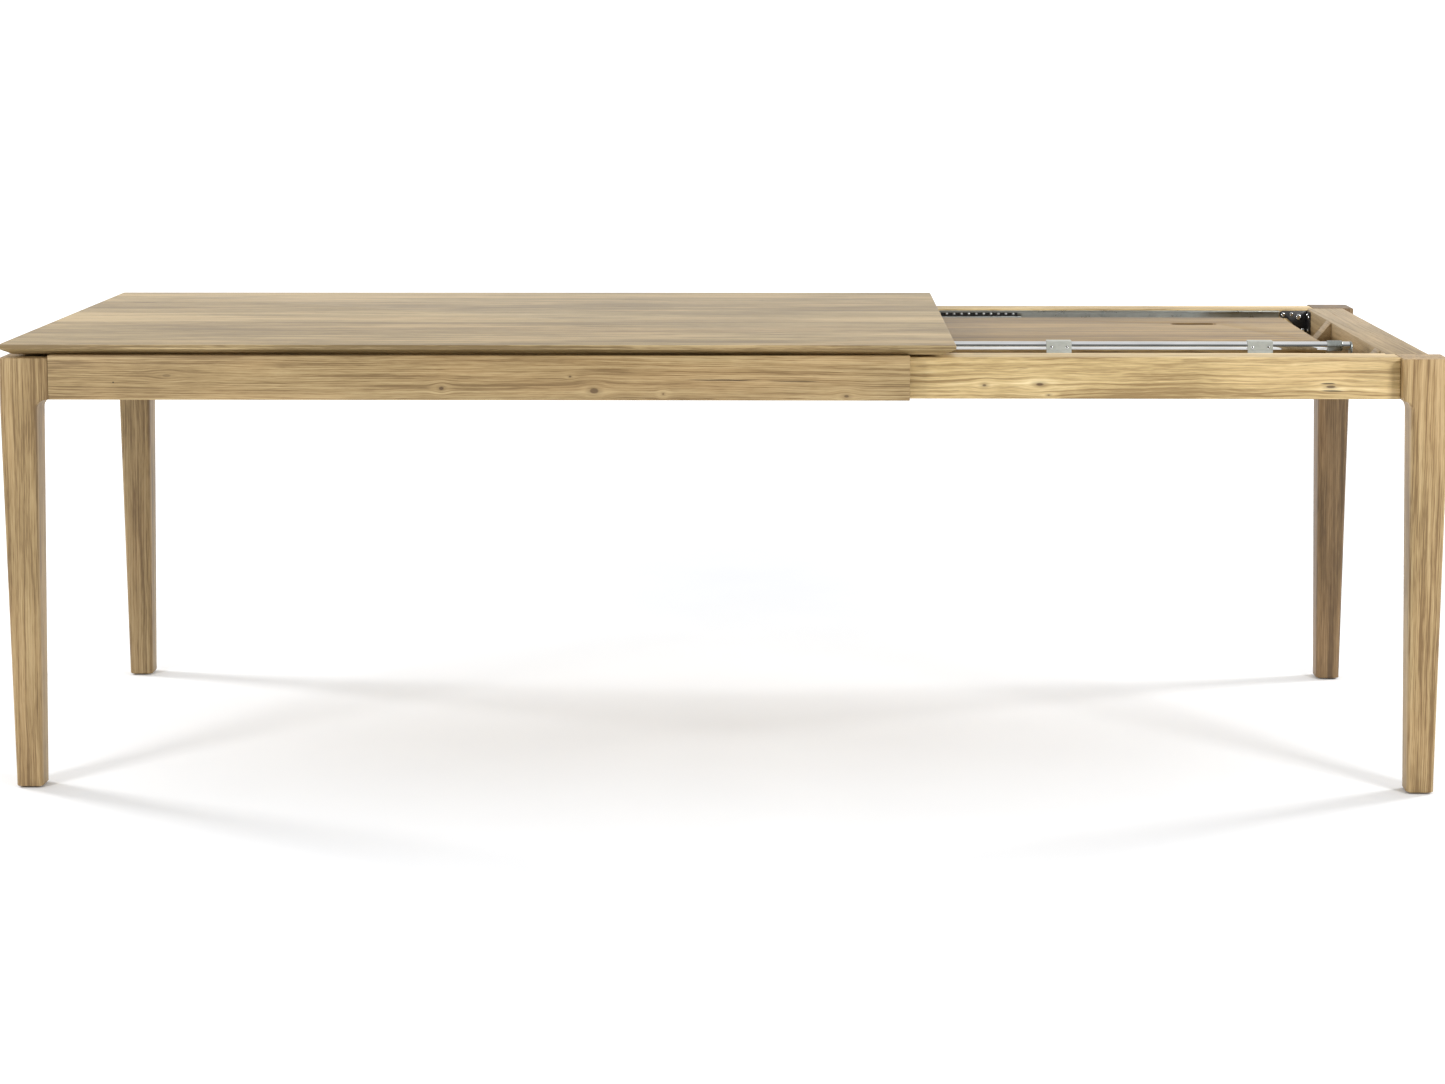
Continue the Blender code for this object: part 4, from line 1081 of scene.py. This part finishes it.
def make_corner_bracket(name, side, finishes):
    """The black angle plate at a corner of the moving frame."""
    node = "corner_bracket_" + name
    lowest, highest = low(node), high(node)
    sheet = 0.0025
    back = max(abs(lowest.y), abs(highest.y))
    arm = 0.014
    left, right = lowest.x, highest.x
    tab = arc((left + arm / 2, highest.z - arm / 2), arm / 2, 90, 270, 14)
    slope = [(left + arm, highest.z - arm), (right - 0.006, lowest.z)]
    outline = tab + slope + [(right, lowest.z), (right, highest.z)]
    bm = bmesh.new()
    add_prism(bm, outline, "Y", across(side, back - sheet, back))
    plate = soften(mesh_object(node + "_plate", bm), 0.0004, 2)
    finish(plate, finishes["black"], "black_steel", "extension", node)
    flange_inner = min(abs(lowest.y), abs(highest.y))
    corners = (0.004, 0.0003, 0.0003, 0.004)
    flange = rounded_section((flange_inner, back - sheet * 0.6), (lowest.z, highest.z), corners, 6)
    outline = [(side * y, z) for y, z in flange]
    bm = bmesh.new()
    add_prism(bm, outline, "X", (right - sheet, right))
    flange_plate = soften(mesh_object(node + "_flange", bm), 0.0004, 2)
    finish(flange_plate, finishes["black"], "black_steel", "extension")


def make_leaf(finishes):
    """The two folded halves with their hand slot, and the hinges at their far edge."""
    lowest, highest = low("leaf_lower"), high("leaf_upper")
    slot_x, slot_y = lowest.x + 0.617, 0.143
    slot_half, slot_radius = 0.029, 0.014
    outline = arc((slot_x + slot_half, slot_y), slot_radius, -90, 90, 20)
    outline += arc((slot_x - slot_half, slot_y), slot_radius, 90, 270, 20)
    for half in ("lower", "upper"):
        node = "leaf_" + half
        bm = bmesh.new()
        add_box(bm, low(node), high(node))
        board = mesh_object(node + "_oak", bm, False)
        bm = bmesh.new()
        add_prism(bm, outline, "Z", (lowest.z - 0.01, highest.z + 0.01))
        tool = mesh_object("slot_tool", bm, False)
        cut = board.modifiers.new("hand_slot", "BOOLEAN")
        cut.operation = "DIFFERENCE"
        cut.object = tool
        settle(board)
        bpy.data.objects.remove(tool)
        soften(board, 0.0011, 3)
        finish(board, finishes["leaf"], "oak_leaf", "leaf", node)
    for place in ("left", "right"):
        make_hinge("leaf_hinge_" + place, highest.y, finishes)


def make_hinge(node, edge_y, finishes):
    """A butt hinge: five knuckles on a pin, and a plate on the edge of each half."""
    lowest, highest = low(node), high(node)
    centre = middle(node)
    radius = (highest.z - lowest.z) / 2
    length = highest.x - lowest.x
    bm = bmesh.new()
    knuckles = 5
    for i in range(knuckles):
        start = -length / 2 + i * length / knuckles + 0.0003
        end = start + length / knuckles - 0.0006
        profile = [(start, radius - 0.0004), (start + 0.0004, radius)]
        profile += [(end - 0.0004, radius), (end, radius - 0.0004)]
        add_turned(bm, profile, centre, (1, 0, 0), 24)
    for way in (-1, 1):
        tip = [(0.0, radius * 0.6), (0.0006, radius * 0.55), (0.0012, radius * 0.3)]
        add_turned(bm, tip, centre + Vector((way * (length / 2 - 0.0004), 0, 0)), (way, 0, 0), 20)
    finish(mesh_object(node + "_knuckles", bm), finishes["zinc_cross"], "zinc_steel", "leaf", node)
    bm = bmesh.new()
    for way in (-1, 1):
        z = sorted((centre.z + way * 0.0006, centre.z + way * 0.0150))
        add_box(bm, (lowest.x, edge_y + 0.0001, z[0]), (highest.x, edge_y + 0.0013, z[1]))
    plates = soften(mesh_object(node + "_plates", bm), 0.0003, 2)
    finish(plates, finishes["zinc_cross"], "zinc_steel", "leaf")


def make_glide(node, body, finishes):
    """A domed plastic glide."""
    lowest, highest = low(node), high(node)
    centre = middle(node)
    radius = (highest.x - lowest.x) / 2
    height = highest.z - lowest.z
    profile = [(0.0, radius * 0.88), (height * 0.12, radius * 0.95), (height * 0.40, radius)]
    profile += [(height * 0.80, radius), (height, radius * 0.97)]
    bm = bmesh.new()
    add_turned(bm, profile, (centre.x, centre.y, lowest.z), (0, 0, 1), 40)
    finish(mesh_object(node + "_turned", bm), finishes["glide"], "glide_plastic", body, node)


def make_leg_nut(name, side, finishes):
    """The nut and bolt end that draw a left leg into its corner block."""
    node = "leg_nut_" + name
    out = Vector((1, -side * 1.0, 0))
    block = bpy.data.objects["corner_block_" + name]
    normals = (face.normal for face in block.data.polygons)
    facing = max(normals, key=lambda n: n.dot(out) - abs(n.x - abs(n.y)))
    out = Vector(facing).normalized()
    centre = middle(node)
    bm = bmesh.new()
    add_turned(bm, [(-0.003, 0.0060), (-0.0028, 0.0075), (0.0014, 0.0075), (0.0026, 0.0064)], centre, out, 6)
    add_turned(bm, [(0.0026, 0.0031), (0.0080, 0.0031), (0.0088, 0.0022)], centre, out, 20)
    finish(mesh_object(node + "_bolt", bm), finishes["zinc_cross"], "zinc_steel", "base", node)


def make_hardware(finishes):
    """Tube, brackets, clips, glides, nuts and every screw head."""
    make_tube(finishes)
    for place in ("left", "right"):
        make_tube_bracket(place, finishes)
        make_clip(place, finishes)
    for name, side in SIDES:
        make_corner_bracket(name, side, finishes)
        make_leg_nut(name, side, finishes)
        make_glide("glide_left_" + name, "base", finishes)
        make_glide("glide_right_" + name, "extension", finishes)
    make_all_screws(finishes)


def make_all_screws(finishes):
    """Screw heads, grouped by the body that they ride on."""
    pattern = screw_head_pattern()
    chrome_tree = screw_head_tree(finishes["chrome"])
    zinc_tree = screw_head_tree(finishes["zinc_cross"])

    def screws(name, seats, tree, material, slot, body, *nodes):
        make_screws(name, seats, *tree, pattern, finishes[material], slot, body, *nodes)

    bracket = []
    for name, side in SIDES:
        node = "corner_bracket_" + name
        right, top = high(node).x, high(node).z
        plate_y = side * (max(abs(low(node).y), abs(high(node).y)) - 0.0025)
        on_plate = ((0.0480, 0.0068, 0.0042), (0.0320, 0.0068, 0.0042), (0.0090, 0.0380, 0.0040))
        for back, drop, radius in on_plate:
            bracket.append(((right - back, plate_y, top - drop), (0, -side, 0), radius))
        for inwards, drop in ((0.0085, 0.0070), (0.0185, 0.0110), (0.0140, 0.0370)):
            seat = (right - 0.0025, plate_y - side * inwards, top - drop)
            bracket.append((seat, (-1, 0, 0), 0.0036))
        bolt = middle("corner_bracket_bolt_" + name)
        bracket.append(((bolt.x, plate_y, bolt.z), (0, -side, 0), 0.0060))
    bolts = ["corner_bracket_bolt_" + name for name, _ in SIDES]
    screws("corner_bracket_screws", bracket, chrome_tree, "chrome", "chrome", "extension", *bolts)

    clip_front, clip_top, clip_nodes = [], [], []
    for place in ("left", "right"):
        clip = middle("leaf_clip_" + place)
        for end in ("left", "right"):
            node = "leaf_clip_" + place + "_screw_" + end
            seat = middle(node)
            clip_front.append(((seat.x, high(node).y + CLEARANCE, seat.z), (0, -1, 0), 0.0027))
            clip_nodes.append(node)
            tongue = high("leaf_clip_" + place)
            tongue_x = seat.x * 0.75 + clip.x * 0.25
            tongue_seat = (tongue_x, tongue.y - 0.009, high("leaf_upper").z + 0.0025)
            clip_top.append((tongue_seat, (0, 0, 1), 0.0030))
    screws("leaf_clip_screws", clip_front, chrome_tree, "chrome", "chrome", "leaf", *clip_nodes)
    screws("clip_tongue_screws", clip_top, zinc_tree, "zinc_cross", "zinc_steel", "leaf")

    moving, fixed = [], []
    for name, side in SIDES:
        for node, depth, count, way, rows in (
            ("slide_moving_" + name, 0.0018, 6, 1, moving),
            ("slide_fixed_" + name, 0.0112, 5, -1, fixed),
        ):
            lowest, highest = low(node), high(node)
            y = side * (low("rail_far").y - depth)
            for i in range(count):
                x = lowest.x + (highest.x - lowest.x) * (i + 0.5) / count
                rows.append(((x, y, middle(node).z), (0, -side * way, 0), 0.0028))
    screws("moving_slide_screws", moving, zinc_tree, "zinc_cross", "zinc_steel", "extension")
    screws("fixed_slide_screws", fixed, zinc_tree, "zinc_cross", "zinc_steel", "base")

    under_base, under_moving = [], []
    for node in ("top_batten_left", "top_batten_right"):
        lowest, highest = low(node), high(node)
        for share in (0.08, 0.36, 0.64, 0.92):
            y = lowest.y + (highest.y - lowest.y) * share
            under_base.append(((middle(node).x, y, lowest.z), (0, 0, -1), 0.0042))
    for name, side in SIDES:
        node = "slide_bearer_" + name
        lowest, highest = low(node), high(node)
        for i in range(6):
            x = lowest.x + (highest.x - lowest.x) * (i + 0.5) / 6
            under_base.append(((x, middle(node).y, lowest.z), (0, 0, -1), 0.0042))
    for node in ("cross_rail", "tube_bracket_bar", "leaf_carrier_left", "leaf_carrier_right"):
        lowest, highest = low(node), high(node)
        for end_y in (lowest.y + 0.018, highest.y - 0.018):
            for share in (0.28, 0.72):
                x = lowest.x + (highest.x - lowest.x) * share
                under_moving.append(((x, end_y, lowest.z), (0, 0, -1), 0.0042))
    for place in ("left", "right"):
        node = "tube_bracket_" + place
        centre = middle(node)
        foot = centre.x + (0.0012 if place == "right" else -0.0012)
        for dy in (-0.0055, 0.0055):
            under_moving.append(((foot, centre.y + dy, low(node).z + 0.0025), (0, 0, 1), 0.0030))
    screws("timber_screws_fixed", under_base, zinc_tree, "zinc_cross", "zinc_steel", "base")
    screws("timber_screws_moving", under_moving, zinc_tree, "zinc_cross", "zinc_steel", "extension")

    hinge = []
    for place in ("left", "right"):
        node = "leaf_hinge_" + place
        lowest, highest = low(node), high(node)
        for share in (0.2, 0.8):
            x = lowest.x + (highest.x - lowest.x) * share
            for dz in (-0.0098, 0.0098):
                seat = (x, high("leaf_upper").y + 0.0013, middle(node).z + dz)
                hinge.append((seat, (0, 1, 0), 0.0026))
    screws("hinge_screws", hinge, zinc_tree, "zinc_cross", "zinc_steel", "leaf")
    bpy.data.objects.remove(pattern)


# ================================================================ studio
SURROUND_DARK = 0.18
SURROUND_WHITE = 0.92
FRONT_POWER = {"left": 74, "right": 88}
BACK_POWER = 72
BACKDROP_WHITE = 1.10


def make_floor():
    """A plain pale floor that brightens into the white background behind the table."""
    bm = bmesh.new()
    add_box(bm, (-30, -12, -0.02), (30, 60, 0.0))
    floor = mesh_object("studio_floor", bm, False)
    f = Finish("studio_floor_paint")
    mottle = f.noise(f.stretch((3, 3, 3)), 2.0)
    back = f.node("ShaderNodeSeparateXYZ", {0: f.place}, "Y")
    f.surface(f.ramp(mottle, ((0.3, (0.850, 0.862, 0.880)), (0.7, (0.865, 0.877, 0.895)))), 0.9)
    f.feed(f.shader.inputs["Emission Strength"], f.span(back, 1.0, 5.0, 0.0, 0.6))
    f.shader.inputs["Emission Color"].default_value = (1, 1, 1, 1)
    f.shader.inputs["Specular IOR Level"].default_value = 0.0
    floor.data.materials.append(f.material)


def make_softbox(name, place, aim, size, power, warmth=(1, 1, 1)):
    """One soft area light."""
    data = bpy.data.lights.new(name, "AREA")
    data.shape = "RECTANGLE"
    data.size, data.size_y = size
    data.energy = power
    data.color = warmth
    lamp = bpy.data.objects.new(name, data)
    bpy.context.scene.collection.objects.link(lamp)
    lamp.location = place
    lamp.rotation_euler = (Vector(aim) - Vector(place)).to_track_quat("-Z", "Y").to_euler()


def make_light():
    """A white surround, dark low down on the near side, and four softboxes at the corners."""
    world = bpy.data.worlds.new("studio_surround")
    bpy.context.scene.world = world
    world.use_nodes = True
    tree = world.node_tree
    surround = tree.nodes["Background"]
    way = tree.nodes.new("ShaderNodeTexCoord")
    split = tree.nodes.new("ShaderNodeSeparateXYZ")
    tree.links.new(way.outputs["Generated"], split.inputs[0])
    reach = []
    for axis, start, end in (("Y", -0.30, 0.10), ("Z", 0.52, 0.80)):
        step = tree.nodes.new("ShaderNodeMapRange")
        step.interpolation_type = "SMOOTHSTEP"
        step.inputs["From Min"].default_value = start
        step.inputs["From Max"].default_value = end
        tree.links.new(split.outputs[axis], step.inputs["Value"])
        reach.append(step.outputs["Result"])
    bright = tree.nodes.new("ShaderNodeMath")
    bright.operation = "MAXIMUM"
    tree.links.new(reach[0], bright.inputs[0])
    tree.links.new(reach[1], bright.inputs[1])
    level = tree.nodes.new("ShaderNodeMapRange")
    level.inputs["To Min"].default_value = SURROUND_DARK
    level.inputs["To Max"].default_value = SURROUND_WHITE
    tree.links.new(bright.outputs[0], level.inputs["Value"])
    seen = tree.nodes.new("ShaderNodeLightPath")
    strength = tree.nodes.new("ShaderNodeMix")
    tree.links.new(seen.outputs["Is Camera Ray"], strength.inputs["Factor"])
    tree.links.new(level.outputs["Result"], strength.inputs[2])
    strength.inputs[3].default_value = BACKDROP_WHITE
    tree.links.new(strength.outputs[0], surround.inputs["Strength"])
    surround.inputs["Color"].default_value = (1, 1, 1, 1)
    for name, way_x in (("left", -1), ("right", 1)):
        front = (way_x * 3.2, -3.2, 2.2)
        front_aim = (way_x * 0.6, 0, 0.4)
        back = (way_x * 3.8, 1.1, 1.9)
        back_aim = (way_x * 0.6, 0.2, 0.4)
        make_softbox("front_" + name, front, front_aim, (0.9, 0.9), FRONT_POWER[name])
        make_softbox("back_" + name, back, back_aim, (0.7, 0.7), BACK_POWER)


def make_camera():
    """The view from in front, a little above the top, with the optical axis tipped slightly down."""
    pitch, yaw, roll = 0.095, 0.0250, -0.0021
    data = bpy.data.cameras.new("camera")
    data.sensor_width = 36.0
    data.lens = 70.60
    data.shift_x = 0.0
    data.shift_y = -0.1772
    data.clip_end = 200
    camera = bpy.data.objects.new("camera", data)
    bpy.context.scene.collection.objects.link(camera)
    camera.location = (0.1218, -5.1199, 1.3040)
    look = Matrix.Rotation(yaw, 3, "Z") @ Matrix.Rotation(math.pi / 2 - pitch, 3, "X")
    camera.rotation_euler = (look @ Matrix.Rotation(roll, 3, "Z")).to_euler()
    bpy.context.scene.camera = camera


# ================================================================ assembly
def main():
    """Dress the whole table and set up the studio."""
    make_camera()
    finishes = make_finishes()
    make_woodwork(finishes)
    make_slides(finishes)
    make_leaf(finishes)
    make_hardware(finishes)
    make_floor()
    make_light()
    bpy.context.scene.view_settings.view_transform = "Standard"


main()
